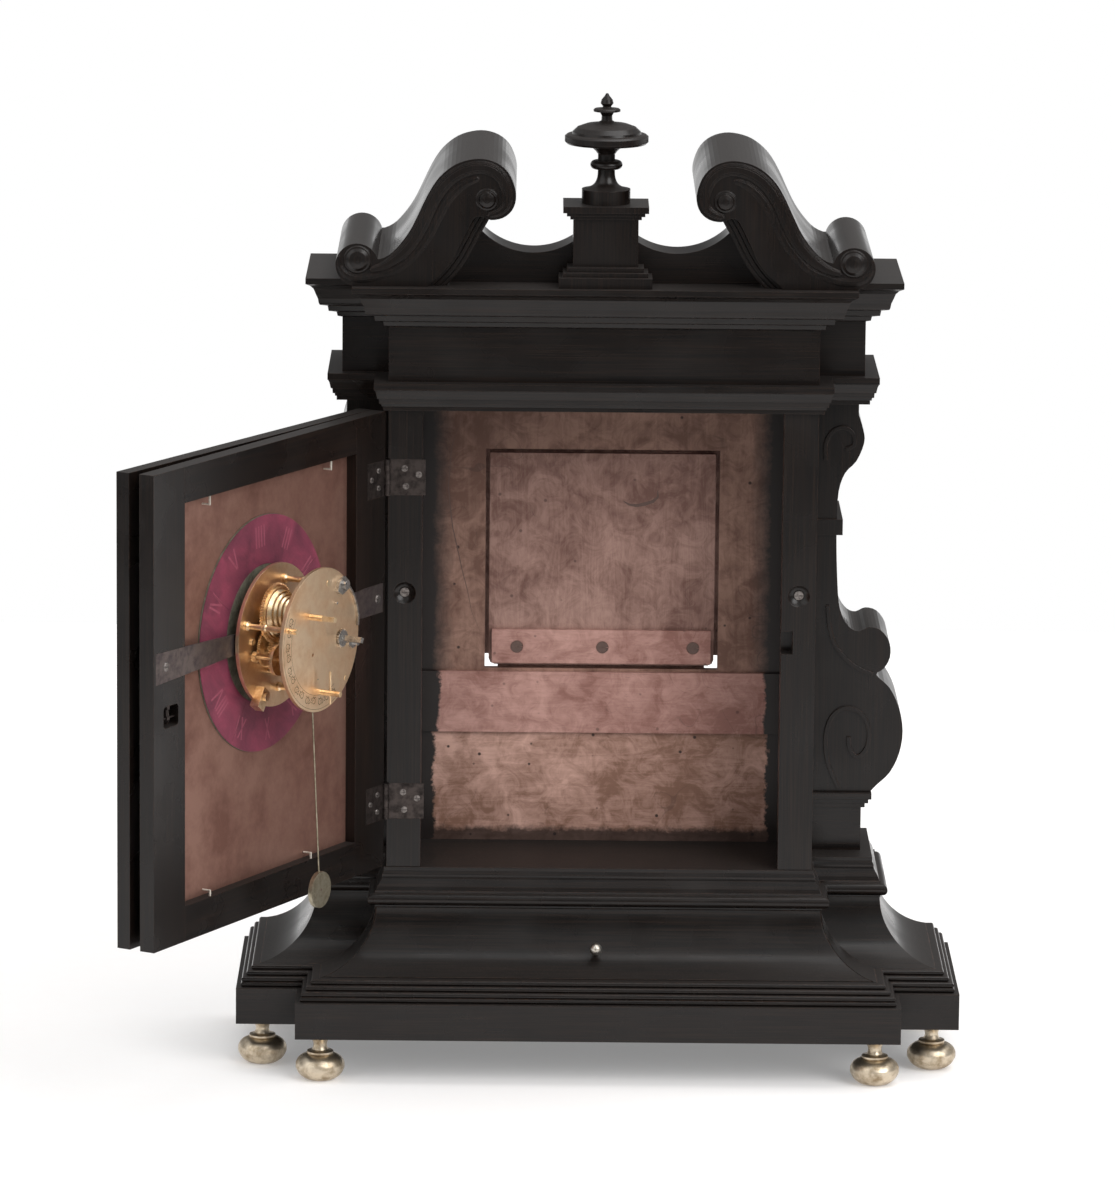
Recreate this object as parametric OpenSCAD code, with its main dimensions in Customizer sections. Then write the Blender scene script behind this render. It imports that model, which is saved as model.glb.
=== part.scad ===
// Night clock in an ebonised pear-wood case: cabinet with a hinged dial door that carries
// a fusee movement, a glazed door in front of it, a drawer in the foot and a hatch in the back.

/* [Foot of the case] */
// Width of the front plinth, corner to corner
front_w = 394.6; // [388:0.2:400]
// Width over the two set-back wings
wing_w = 474.6; // [470:0.2:480]
// How far the wings stand behind the front plinth
wing_back = 39.3; // [37:0.1:41]
// Depth from the front plinth to the flat back
case_d = 182; // [180:0.5:188]
// Height of the plinth above the table
foot_h = 30; // [28:0.5:34]
// Height of the plain plinth band
plinth_h = 24; // [20:0.5:28]
// Height of one reed of the lower moulding (four of them)
reed_h = 3.35; // [3.2:0.05:3.6]
// Height of the big hollow moulding, also its radius less a hair
cove_h = 39.8; // [38:0.2:42]
// Height of the moulded board on which the cabinet stands
ledge_h = 25.5; // [25:0.5:30]
// Largest width of a bun foot
foot_w = 32; // [30:0.5:33]

/* [Cabinet] */
// Width over the side panels
body_w = 279; // [278:0.2:280]
// Front of the cabinet behind the front plinth
body_y = 57.2; // [57:0.1:58]
// Height of the cabinet between ledge and architrave
case_h = 304.1; // [304:0.1:310]
// Width of a front stile
stile_w = 22.3; // [20:0.1:23]
// Thickness of a front stile
stile_t = 20; // [16:0.5:22]
// Thickness of a side panel
side_t = 10; // [8:0.5:12]
// Front face of the back boards behind the front plinth
back_y = 137.5; // [130:0.5:145]
// Thickness of the back boards
back_t = 10; // [9:0.5:12]
// Height of the hatch opening's lower edge above the ledge
hatch_low = 117.1; // [112:0.1:119]
// Height of the hatch opening
hatch_h = 147.6; // [140:0.1:150]
// Width of the hatch opening
hatch_w = 154.4; // [146:0.1:156]
// Gap round the hatch panel
hatch_gap = 2.6; // [2:0.1:3.2]

/* [Entablature] */
// Height of the architrave
arch_h = 18.4; // [18.2:0.1:20]
// Height of the plain frieze
frieze_h = 36; // [30:0.5:42]
// Height of the cornice
cornice_h = 28.6; // [28.4:0.1:30]
// Width of the wings behind frieze and architrave
upper_wing_w = 341.2; // [336:0.2:346]
// Front face of the carved pediment behind the front plinth
scroll_y = 42.7; // [38:0.1:46]
// Front face of the hollow pediment board
tympanum_y = 65; // [60:0.5:70]
// Thickness of the hollow pediment board
tympanum_t = 31; // [24:0.5:36]
// Front face of the side brackets behind the front plinth
bracket_y = 115; // [112:0.5:120]

/* [Dial door] */
// How far the door stands open in the picture
door_open = 119.7; // [0:0.1:160]
// Width of the dial door
door_w = 277.7; // [276:0.1:278]
// Height of the dial door
door_h = 302.4; // [300:0.1:302.8]
// Thickness of the dial door's frame
door_t = 10.3; // [10:0.1:11]
// Width of the dial door's stiles
door_stile_w = 36; // [34:0.1:37]
// Height of the dial door's rails
door_rail_h = 22.7; // [22:0.1:24]
// Thickness of the copper dial plate
plate_t = 1; // [0.8:0.1:1.2]
// Radius of the turning hour disc
disc_r = 76.2; // [72:0.1:80]
// How far the glazed door stands ajar in the picture
ajar = 1.5; // [0:0.1:20]
// Thickness of the glazed door's frame
glazed_t = 9.4; // [8:0.1:10.5]
// Thickness of the glass
glass_t = 2; // [1.6:0.1:2.4]

/* [Movement] */
// Radius of the two movement plates
mov_r = 46; // [45:0.1:48]
// Thickness of a movement plate
mov_t = 2.5; // [2:0.1:3]
// Clear distance between the movement plates
mov_gap = 29.8; // [29.4:0.1:31]
// Radius of the barrel's drum
barrel_r = 15.5; // [14.5:0.1:16]
// Diameter of the gut line
gut_d = 1.1; // [0.9:0.05:1.2]
// Length of the pendulum rod from the verge to the middle of the bob
rod_len = 139.8; // [120:0.1:142]
// Radius of the pendulum bob
bob_r = 11.7; // [9:0.1:13]

/* [Hidden] */
$fn = 96;
far = 600;
reeds = 4;
z_reed = plinth_h;
z_cove = z_reed + reeds * reed_h;
z_ledge = z_cove + cove_h;
z_floor = z_ledge + ledge_h;
z_arch = z_floor + case_h;
z_frieze = z_arch + arch_h;
z_cornice = z_frieze + frieze_h;
z_top = z_cornice + cornice_h;
body_half = body_w / 2;
stile_in = body_half - stile_w;
cove_r = cove_h + 0.2;
cove_t = 11;
bay_back = 12;
bay_front = 60;
slide_gap = 0.4;
seat = 0.3;
axis_x = -(body_half + 0.7);
axis_y = 55.9;
door_in = 1.3;
door_face = -0.65;
door_z = z_floor + 1;
door_front = door_face - door_t;
glazed_gap = 0.3;
glazed_back = door_front - glazed_gap;
glazed_u = -0.9;
glazed_v = door_front - glazed_gap / 2;
leaf_t = 1.2;
leaf_h = 23.5;
knuckle_r = 2.2;
pin_r = 0.9;
run = 0.04;
bite = 0.02;
screw_r = 0.9;
disc_u = 140.8;
disc_z = 283.1;
open_u = door_in + door_stile_w;
open_w = door_w - 2 * door_stile_w;
open_z = door_z + door_rail_h;
open_h = door_h - 2 * door_rail_h;
strap_t = 1.7;
front_d = 1.7;
inner_d = front_d + mov_t;
rear_d = inner_d + mov_gap;
out_d = rear_d + mov_t;
fusee_at = [11.8, 16.7];
great_teeth = 60;
great_leaves = 12;
great_module = 0.6267;
second_teeth = 48;
second_leaves = 12;
second_module = 0.5;
contrate_teeth = 30;
contrate_leaves = 6;
contrate_r = 9;
hour_teeth = 40;
hour_leaves = 8;
barrel_at = [-25, -3];
verge_at = [3, -25];
great_run = great_module * (great_teeth + great_leaves) / 2;
second_at = fusee_at + great_run * [cos(-79.3), sin(-79.3)];
second_run = second_module * (second_teeth + second_leaves) / 2;
contrate_at = second_at + second_run * [cos(-13.1), sin(-13.1)];
hour_run = sqrt(fusee_at[0] * fusee_at[0] + fusee_at[1] * fusee_at[1]);
hour_module = 2 * hour_run / (hour_teeth + hour_leaves);
crown_dir = atan2(verge_at[1] - contrate_at[1], verge_at[0] - contrate_at[0]);
crown_run = sqrt(pow(verge_at[0] - contrate_at[0], 2) + pow(verge_at[1] - contrate_at[1], 2));
crown_d = 20.9;
crown_r = 7;
pillars_at = [[36.6, 11.8], [-1.7, -34.1], [-9, 35], [-31, -30]];
rod_lean = -4.5;
hour_turn = 26;
foot_spots = [[181.2, 15.6], [220.5, 57.5], [220.5, case_d - 17]];
reach_x = -302.56;
reach_y = -186.126;

// Which piece to draw

// Smooth curve through a few measured points.
function curve_at(a, b, c, d, s) =
  0.5 * (2 * b + (c - a) * s + (2 * a - 5 * b + 4 * c - d) * s * s + (3 * b - a - 3 * c + d) * s * s * s);
function smooth(p, n) = concat(
  [for (i = [0 : len(p) - 2]) for (j = [0 : n - 1])
    curve_at(p[max(i - 1, 0)], p[i], p[i + 1], p[min(i + 2, len(p) - 1)], j / n)],
  [p[len(p) - 1]]);
function across(p, i) =
  let (v = p[min(i + 1, len(p) - 1)] - p[max(i - 1, 0)])
  [-v[1], v[0]] / norm(v);
function ribbon(p, w) = concat(
  [for (i = [0 : len(p) - 1]) p[i] + across(p, i) * w / 2],
  [for (i = [len(p) - 1 : -1 : 0]) p[i] - across(p, i) * w / 2]);
function unit(v) = v / norm(v);

// Case frame: the origin moves to the middle of the ground that the clock covers with its
// door open. reach_x and reach_y are the open door's furthest corners, left and front.
module place() {
  translate([-(reach_x + wing_w / 2) / 2, -(reach_y + case_d) / 2, foot_h])
    children();
}

// Door frame: pieces are drawn with the door shut, u along the door and the movement behind it.
module on_door() {
  place()
    translate([axis_x, axis_y, 0])
      rotate([0, 0, -door_open])
        children();
}

// Glazed door frame: its own hinge line on the dial door.
module on_glazed() {
  on_door()
    translate([glazed_u, glazed_v, 0])
      rotate([0, 0, -ajar])
        translate([-glazed_u, -glazed_v, 0])
          children();
}

// Movement frame: origin on the disc's axis in the back face of the door frame, y going in.
module on_movement() {
  on_door()
    translate([disc_u, door_face, disc_z])
      children();
}

// A flat outline (across, up) given a depth range.
module layer(d0, d1) {
  translate([0, d1, 0])
    rotate([90, 0, 0])
      linear_extrude(d1 - d0)
        children();
}

module disc_at(p, d0, d1, r) {
  layer(d0, d1)
    translate(p)
      circle(r);
}

// Block with a moulding on front and both sides, mitred at the corners; the child is the
// moulding's section with x going in from the face and y going up.
module moulded_block(w, y0, y1) {
  intersection() {
    translate([0, y1, 0])
      rotate([90, 0, 0])
        linear_extrude(y1 - y0 + 40)
          intersection() {
            translate([-w / 2, 0])
              children();
            mirror([1, 0])
              translate([-w / 2, 0])
                children();
          }
    translate([-w / 2 - 40, y0, 0])
      rotate([90, 0, 90])
        linear_extrude(w + 80)
          intersection() {
            children();
            translate([-40, -1])
              square([y1 - y0 + 40, 80]);
          }
  }
}

module foot_block() {
  moulded_block(front_w, 0, case_d)
    children();
  moulded_block(wing_w, wing_back, case_d)
    children();
}

module top_block() {
  moulded_block(body_w, body_y, case_d)
    children();
  moulded_block(upper_wing_w, body_y + wing_back, case_d)
    children();
}

module box(x0, x1, y0, y1, z0, z1) {
  translate([x0, y0, z0])
    cube([x1 - x0, y1 - y0, z1 - z0]);
}

// Foot of the case.

module plinth() {
  color([0.06, 0.05, 0.05])
    place()
      difference() {
        foot_block()
          square([far, plinth_h]);
        box(26 - front_w / 2, front_w / 2 - 26, 26, case_d - 26, -1, plinth_h + 1);
        box(26 - wing_w / 2, wing_w / 2 - 26, wing_back + 26, case_d - 26, -1, plinth_h + 1);
      }
}

module base_board() {
  steps = [3, 3.6, 6.6, 9.8];
  color([0.07, 0.06, 0.05])
    place()
      translate([0, 0, z_reed])
        foot_block()
          for (i = [0 : reeds - 1]) {
            translate([steps[i] + 1.2, i * reed_h])
              square([far, reed_h]);
            translate([steps[i] + 1.55, (i + 0.5) * reed_h])
              circle(1.55);
          }
}

module cove_section() {
  difference() {
    translate([cove_t, 0])
      square([far, cove_h]);
    translate([cove_t, cove_h])
      circle(cove_r);
  }
}

// Room for the drawer: the front is a mitred wedge, the rest a plain bay.
module drawer_bay(gap, y1) {
  half = front_w / 2 - gap;
  linear_extrude(cove_h)
    polygon([[-half - 5, -5], [half + 5, -5], [half - bay_front, bay_front],
      [half - bay_front, y1], [bay_front - half, y1], [bay_front - half, bay_front]]);
}

module base_coves() {
  color([0.06, 0.05, 0.05])
    place()
      translate([0, 0, z_cove])
        difference() {
          foot_block()
            cove_section();
          drawer_bay(0, case_d - bay_back);
        }
}

module ledge_section() {
  translate([50.6, 0])
    square([far, 10.8]);
  translate([50.1, 5.3])
    circle(4);
  polygon([[51.4, 10.8], [52.2, 13.4], [55, 18.1], [55.2, 19.4], [55.2, 20.8], [56.2, 23.1],
    [56.2, ledge_h], [far, ledge_h], [far, 10.8]]);
}

module base_top() {
  color([0.07, 0.06, 0.06])
    place()
      translate([0, 0, z_ledge])
        difference() {
          foot_block()
            ledge_section();
          box(-125, 125, 64, case_d - 14, -1, ledge_h - 12);
        }
}

module bun_feet() {
  color([0.80, 0.66, 0.36])
    place()
      for (side = [-1, 1], spot = foot_spots)
        translate([side * spot[0], spot[1], -foot_h])
          rotate_extrude()
            polygon(concat([[0, 0]], smooth([[7.4, 0], [10.2, 1], [13.6, 3.6], [foot_w / 2 - 0.2, 7.4],
              [foot_w / 2, 9.4], [foot_w / 2 - 0.2, 11.4], [14.2, 14.2], [11.4, 16.2], [8, 17.2]], 4),
              [[8.6, 17.7], [8.6, 18.9], [6.2, 19.3]],
              smooth([[5.2, 20], [4.4, 22.4], [4.6, 24.6], [6, foot_h - 2.6], [8, foot_h - 1]], 3),
              [[8, foot_h], [0, foot_h]]));
}

module drawer_front() {
  color([0.07, 0.06, 0.06])
    place()
      difference() {
        translate([0, 0, z_cove])
          intersection() {
            translate([-front_w / 2, 0, 0])
              rotate([90, 0, 90])
                linear_extrude(front_w)
                  intersection() {
                    cove_section();
                    translate([0, slide_gap])
                      square([bay_front, cove_h - 2 * slide_gap]);
                  }
            drawer_bay(slide_gap * 1.5, bay_front + 1);
          }
        translate([-1.7, bay_front - 8, 54])
          rotate([90, 0, 0])
            cylinder(h = 60, r = 1.8 + bite);
      }
}

module drawer_box() {
  half = front_w / 2 - bay_front - slide_gap * 1.5;
  color([0.52, 0.38, 0.26])
    place()
      difference() {
        box(-half, half, bay_front, case_d - bay_back - 1, z_cove + slide_gap, z_ledge - 4);
        box(8 - half, half - 8, bay_front + 8, case_d - bay_back - 9, z_cove + 6, z_ledge);
      }
}

module drawer_knob() {
  color([0.82, 0.72, 0.48])
    place()
      translate([-1.7, bay_front - 8, 54])
        rotate([90, 0, 0])
          rotate_extrude()
            union() {
              square([1.8, 16.5]);
              translate([0, 10.5])
                square([2.6, 2]);
              intersection() {
                translate([0, 18.5])
                  circle(4);
                square([5, 30]);
              }
            }
}

// Cabinet.

// Screw with a slotted head lying along y, point going in.
module wood_screw(x, y, z, head_r, len) {
  translate([x, y, z])
    rotate([-90, 0, 0])
      difference() {
        union() {
          cylinder(h = 1, r1 = head_r, r2 = head_r * 0.7);
          cylinder(h = len, r = screw_r);
        }
        translate([-head_r, -0.25, -0.1])
          cube([2 * head_r, 0.5, 0.6]);
      }
}

module screw_hole(x, y, z, len) {
  translate([x, y, z])
    rotate([-90, 0, 0])
      cylinder(h = len, r = screw_r + bite);
}

case_leaf_z = [350.5, 135.2];
case_leaf_screws = [[11.4, 17.6], [20.6, 13.6], [12.2, 5.9]];
stile_dish_z = 285.8;
stile_dish_x = 128.4;

module stile(side) {
  difference() {
    box(stile_in, body_half, body_y, body_y + stile_t, z_floor, z_arch);
    translate([stile_dish_x, body_y - 6, stile_dish_z])
      sphere(9.4);
    translate([stile_dish_x, body_y + 3, stile_dish_z])
      rotate([-90, 0, 0])
        cylinder(h = 15, r = 1.6 + bite);
    translate([stile_dish_x, body_y + 1, stile_dish_z])
      rotate([-90, 0, 0])
        cylinder(h = 2.4 + bite, r = 3 + bite);
    if (side > 0)
      box(stile_in - 1, stile_in + 7.6, body_y - 1, body_y + 12, 247.2, 262.5);
    if (side < 0)
      for (z = case_leaf_z) {
        box(-axis_x - 25.2, body_half + 1, body_y - 1, body_y + leaf_t, z, z + leaf_h);
        translate([-axis_x, axis_y, z])
          cylinder(h = leaf_h, r = knuckle_r + 0.4);
        for (s = case_leaf_screws)
          screw_hole(-axis_x - s[0], body_y, z + s[1], 12);
      }
  }
}

module stile_left() {
  color([0.06, 0.05, 0.05])
    place()
      mirror([1, 0, 0])
        stile(-1);
}

module stile_right() {
  color([0.06, 0.05, 0.05])
    place()
      stile(1);
}

module side_panels() {
  color([0.07, 0.06, 0.06])
    place()
      for (side = [0, 1])
        mirror([side, 0, 0])
          box(body_half - side_t, body_half, body_y + stile_t, case_d, z_floor, z_arch);
}

hatch_z = z_floor + hatch_low;
hatch_x = 0.7;
hatch_axis = [hatch_x + hatch_w / 2 + 1.6, back_y + back_t + 1.7];
hatch_leaf_z = [hatch_z + 22, hatch_z + hatch_h - 38];

module back_board_upper() {
  half = body_half - side_t;
  color([0.55, 0.42, 0.36])
    place()
      difference() {
        box(-half, half, back_y, back_y + back_t, z_floor + 95, z_arch);
        box(hatch_x - hatch_w / 2, hatch_x + hatch_w / 2, back_y - 1, back_y + back_t + 1,
          hatch_z, hatch_z + hatch_h);
        box(hatch_x - hatch_w / 2 - 4, hatch_x + hatch_w / 2 + 1.2, back_y + back_t - 4.5,
          back_y + back_t + 1, hatch_z - 4, hatch_z + hatch_h + 4);
        translate([hatch_x - hatch_w / 2 - 10, back_y + 3, hatch_z + 70])
          rotate([-90, 0, 0])
            cylinder(h = 9, r = screw_r + run);
      }
}

module back_board_lower() {
  half = body_half - side_t;
  color([0.56, 0.43, 0.37])
    place()
      box(-half, half, back_y, back_y + back_t, z_floor, z_floor + 95);
}

module back_batten() {
  half = body_half - side_t;
  color([0.50, 0.38, 0.32])
    place()
      box(-half, half, back_y - 3, back_y, 176.8, 217.8);
}

module case_screws() {
  color([0.35, 0.34, 0.33])
    place() {
      for (side = [-1, 1])
        translate([side * stile_dish_x, body_y + 2.2, stile_dish_z])
          rotate([-90, 0, 0])
            difference() {
              union() {
                cylinder(h = 1.2, r = 3);
                cylinder(h = 14, r = 1.6);
              }
              translate([-3, -0.4, -0.1])
                cube([6, 0.8, 0.7]);
            }
      for (z = case_leaf_z)
        for (s = case_leaf_screws)
          wood_screw(axis_x + s[0], body_y, z + s[1], 2.1, 12);
    }
}

module arch_section() {
  polygon([[-3.5, 0], [-3.5, 2.8], [-4.5, 2.8], [-4.8, 4.8], [-6, 4.8], [-6.3, 8.2], [-7.3, 8.2],
    [-7.8, 10.7], [-8.2, 12.4], [-9, 14], [-9.4, 14.2], [-9.4, arch_h], [far, arch_h], [far, 0]]);
}

module architrave() {
  color([0.07, 0.06, 0.06])
    place()
      translate([0, 0, z_arch])
        top_block()
          arch_section();
}

module frieze() {
  wall = 14;
  color([0.06, 0.05, 0.05])
    place()
      translate([0, 0, z_frieze])
        difference() {
          top_block()
            square([far, frieze_h]);
          box(wall - body_half, body_half - wall, body_y + wall, case_d - wall, -1, frieze_h + 1);
        }
}

module cornice_section() {
  polygon([[0, 0], [-3.1, 1], [-3.7, 3.7], [-8.8, 5.1], [-9.4, 8.5], [-14.4, 9.9], [-15.1, 11.3],
    [-15.6, 14.2], [-17, 17.5], [-18.3, 20.9], [-20.4, 23.2], [-23.5, 24.8], [-23.5, cornice_h],
    [far, cornice_h], [far, 0]]);
}

module cornice() {
  color([0.07, 0.06, 0.06])
    place()
      translate([0, 0, z_cornice])
        difference() {
          top_block()
            cornice_section();
          box(20 - body_half, body_half - 20, body_y + 20, case_d - 20, -1, cornice_h - 10);
        }
}

// Pediment.

// Silhouette from the outer button over the top to the inner eye and down the inner side.
scroll_outer = [[157.4, 516.9], [151, 513.4], [147.4, 507.4], [139.4, 510.2], [132.5, 517],
  [126, 526.1], [120.8, 536.4], [115.6, 547.6], [110.4, 556.8], [104.8, 563.4], [97, 569.2],
  [88, 572.3], [79, 572.9], [70, 570.2], [63.1, 564.3], [59, 555.4], [58, 547], [60.6, 539.6],
  [66.4, 534.8], [74, 533.4], [79.6, 535.4], [84.4, 534.8], [88.8, 527], [93.9, 516.7],
  [99.2, 506.3], [105.8, 498.2], [113, 491.6]];
// Middle line and width of the rounded moulding that follows the silhouette.
scroll_roll = [[150.6, 500.8], [144.2, 502.6], [137.2, 506.6], [129.1, 513.5], [122.2, 522.7],
  [116.6, 533.8], [111.6, 544.8], [106.6, 553.2], [101.4, 559.2], [94.8, 564], [87, 567], [79.2, 567.6],
  [72.4, 565.4], [67, 560.6], [64, 553.6], [63.2, 547], [65.2, 541.6], [69.6, 538.2], [74.6, 536.8]];
roll_w = [3.6, 5.2, 6.6, 8, 8.2, 8.2, 8.2, 8.2, 8.2, 8.2, 8.2, 8.2, 8, 7.6, 7, 6.4, 5.6, 4.8, 4];
// Rounded moulding in flat steps: the share of its width and how far it stands out.
roll_steps = [[1, 0.9], [0.88, 1.6], [0.7, 2.2], [0.44, 2.7]];
// The lower, flatter moulding beside it, which runs on round the outer button.
scroll_swell = [[171.6, 509], [171.2, 502.6], [167, 497.2], [160, 494.9], [152, 495.2], [143.6, 497.6],
  [134, 501.2], [126, 507.6], [118.4, 516.6], [112.2, 526.6], [107.4, 536.6], [102.2, 545.8],
  [96.4, 552.6], [90, 557.4], [83, 560]];
swell_w = [1.6, 3.2, 4.8, 5.2, 5.2, 5, 5, 5.6, 6, 6, 6, 6, 5.8, 5, 3.6];
swell_steps = [[1, 0.4], [0.74, 0.8], [0.42, 1.1]];
rake_line = [[76.6, 541], [79.6, 534.2], [84.4, 525.8], [89.4, 515.8], [95.2, 505.6], [101.4, 497.4],
  [108, 490.4], [112, 486]];

function shifted(p, d) = [for (i = [0 : len(p) - 1]) p[i] + across(p, i) * d];
function between(w, n) = concat(
  [for (i = [0 : len(w) - 2]) for (j = [0 : n - 1]) w[i] + (w[i + 1] - w[i]) * j / n],
  [w[len(w) - 1]]);
// Strip of changing width with a pointed tip at both ends.
function tapered(p, w, share) =
  let (last = len(p) - 1)
  concat(
    [p[0] - unit(p[1] - p[0]) * w[0] * share / 2],
    [for (i = [0 : last]) p[i] + across(p, i) * w[i] * share / 2],
    [p[last] + unit(p[last] - p[last - 1]) * w[last] * share / 2],
    [for (i = [last : -1 : 0]) p[i] - across(p, i) * w[i] * share / 2]);

// One strip of the rake moulding, cut off level where it stands on the cornice.
module rake_strip(d0, d1, aside, w) {
  layer(d0, d1)
    intersection() {
      polygon(ribbon(shifted(smooth(rake_line, 3), aside), w));
      translate([40, 489.8])
        square([90, 60]);
    }
}

module scroll() {
  lift = z_top - 489.8;
  translate([0, 0, lift]) {
    layer(scroll_y, case_d) {
      polygon(concat(smooth(scroll_outer, 3), [[114, 489.8], [160, 489.8]]));
      translate([160, 503.6])
        circle(13.8);
    }
    for (step = roll_steps)
      layer(scroll_y - step[1], scroll_y)
        polygon(tapered(smooth(scroll_roll, 2), between(roll_w, 2), step[0]));
    for (step = swell_steps)
      layer(scroll_y - step[1], scroll_y)
        polygon(tapered(smooth(scroll_swell, 2), between(swell_w, 2), step[0]));
    // Turned buttons in the two eyes of the scroll.
    for (b = [[159.6, 507, 9], [76.6, 546.6, 7.4]])
      translate([b[0], scroll_y, b[1]])
        rotate([90, 0, 0])
          rotate_extrude()
            polygon([[0, -1], [b[2], -1], [b[2], 0.5], [b[2] - 0.6, 1], [b[2] - 1.6, 1.2],
              [b[2] * 0.62, 2.6], [b[2] * 0.3, 3.2], [0, 3.4]]);
    rake_strip(scroll_y + 6, tympanum_y, 0, 8.8);
    for (rib = [[3.1, 2, 3], [0.2, 2, 4.2], [-2.8, 1.6, 4.8]])
      rake_strip(scroll_y + rib[2], scroll_y + 7, rib[0], rib[1]);
  }
}

module scrolls() {
  color([0.07, 0.06, 0.06])
    place()
      for (side = [0, 1])
        mirror([side, 0, 0])
          scroll();
}

module tympanum() {
  hollow_r = 47;
  lift = z_top - 489.8;
  color([0.06, 0.05, 0.05])
    place()
      translate([0, 0, lift])
        layer(tympanum_y, tympanum_y + tympanum_t)
          for (side = [0, 1])
            mirror([side, 0])
              difference() {
                polygon([[30.2, 489.8], [101, 489.8], [94, 508], [86, 522], [80, 531], [21, 531],
                  [21, 502.6], [24.8, 502.6], [24.8, 499.6], [27.5, 499.6], [27.5, 496.6],
                  [30.2, 496.6]]);
                translate([46.5, 556.3])
                  circle(hollow_r);
              }
}

module pedestal() {
  lift = z_top - 489.8;
  color([0.07, 0.06, 0.06])
    place()
      translate([0, 0, lift]) {
        box(-30.2, 30.2, 39, 86, 489.8, 496.6);
        box(-27.5, 27.5, 41.6, 83.4, 496.6, 499.6);
        box(-24.8, 24.8, 44.2, 80.8, 499.6, 502.6);
        box(-21, 21, 48.4, 76.6, 502.6, 533.7);
        box(-23, 23, 46.4, 78.6, 533.7, 536);
        box(-25.2, 25.2, 44.2, 80.8, 536, 538.4);
        box(-27.6, 27.6, 41.6, 83.4, 538.4, 542.5);
      }
}

module finial() {
  lift = z_top - 489.8;
  color([0.06, 0.05, 0.05])
    place()
      translate([0, 62.5, 542.5 + lift])
        rotate_extrude()
          union() {
            square([15.7, 9.2]);
            polygon(concat([[0, 9.2]], smooth([[15, 9.2], [10.4, 10.6], [7.4, 13], [5.8, 17],
              [5.5, 22]], 4), [[0, 22]]));
            square([5.5, 38]);
            translate([7.6, 24.9])
              circle(2.8);
            polygon([[0, 22.4], [7.6, 22.4], [7.6, 27.4], [0, 27.4]]);
            polygon([[0, 28], [5, 28.8], [5.4, 31.6], [7.2, 33.9], [9.6, 36], [14, 38.2],
              [25.6, 38.6], [27, 40], [27, 43.4], [25.6, 44.5], [22.4, 44.9], [22, 46.4],
              [19, 49.2], [13.5, 51.2], [6, 52.2], [3.6, 53.6], [3.4, 56.6], [4.6, 58.8],
              [8.6, 59.4], [8.8, 60.4], [8, 61.2], [3.4, 61.6], [2.6, 62.6], [4.2, 64.6],
              [3.6, 67], [1.6, 69.4], [0.8, 71], [0, 71]]);
          }
}

// Side brackets.

bracket_outer = [[168, 396], [171.2, 386], [171.8, 377.5], [167, 365.4], [159.6, 357.2],
  [155.6, 345], [154.8, 328], [154.7, 312], [155.4, 291.5], [156.9, 270.5], [160.2, 259.6],
  [165.4, 253], [171, 251.3], [177.4, 254], [185, 252], [190.8, 244], [191.4, 234],
  [187.4, 226.2], [182.6, 222], [191.4, 213.4], [198, 199.8], [200.7, 184], [198.6, 169],
  [192.6, 156], [184, 147.4], [179.5, 142.5]];
bracket_spiral = [[158.8, 145], [151.6, 161.9], [149.6, 179.5], [153.6, 193.6], [162.4, 199.4],
  [173, 196], [178.4, 184.2], [176.6, 172], [170.4, 166.4], [165.6, 172.2], [165, 180]];
bracket_leaf = [[149.5, 268.6], [151.4, 252], [156.3, 239.7], [167, 228.3], [180, 222.4]];
bracket_curl = [[147, 366], [146.4, 376], [150.4, 384.6], [158, 387.8], [164.6, 383.4], [165, 376],
  [159.8, 373.4]];

// Its outline is drawn against a side 139.5 from the middle and moves out with the real side.
bracket_side = 139.5;

module bracket() {
  translate([body_half - bracket_side, 0, 0]) {
    layer(bracket_y, case_d)
      polygon(concat(smooth(bracket_outer, 3), [[bracket_side, 142.5], [bracket_side, z_arch],
        [168, z_arch]]));
    layer(bracket_y - 1.6, bracket_y) {
      polygon(ribbon(smooth(bracket_spiral, 3), 2.6));
      polygon(ribbon(smooth(bracket_leaf, 3), 2.4));
      polygon(ribbon(smooth(bracket_curl, 3), 2.4));
    }
    box(bracket_side, 158.6, bracket_y - 1.8, case_d, 316, 326.4);
  }
}

module brackets() {
  color([0.06, 0.05, 0.05])
    place()
      for (side = [0, 1])
        mirror([side, 0, 0])
          bracket();
}

module bracket_blocks() {
  color([0.07, 0.06, 0.06])
    place()
      for (side = [0, 1])
        mirror([side, 0, 0])
          translate([body_half, 0, 0]) {
            box(0, 34.5, bracket_y + 2, case_d, z_floor, 132.2);
            box(0, 36.9, bracket_y - 0.4, case_d, 132.2, 135.4);
            box(0, 39.1, bracket_y - 2.6, case_d, 135.4, 138.4);
            box(0, 41.1, bracket_y - 4.6, case_d, 138.4, 142.5);
          }
}

// Hatch in the back.

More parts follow.
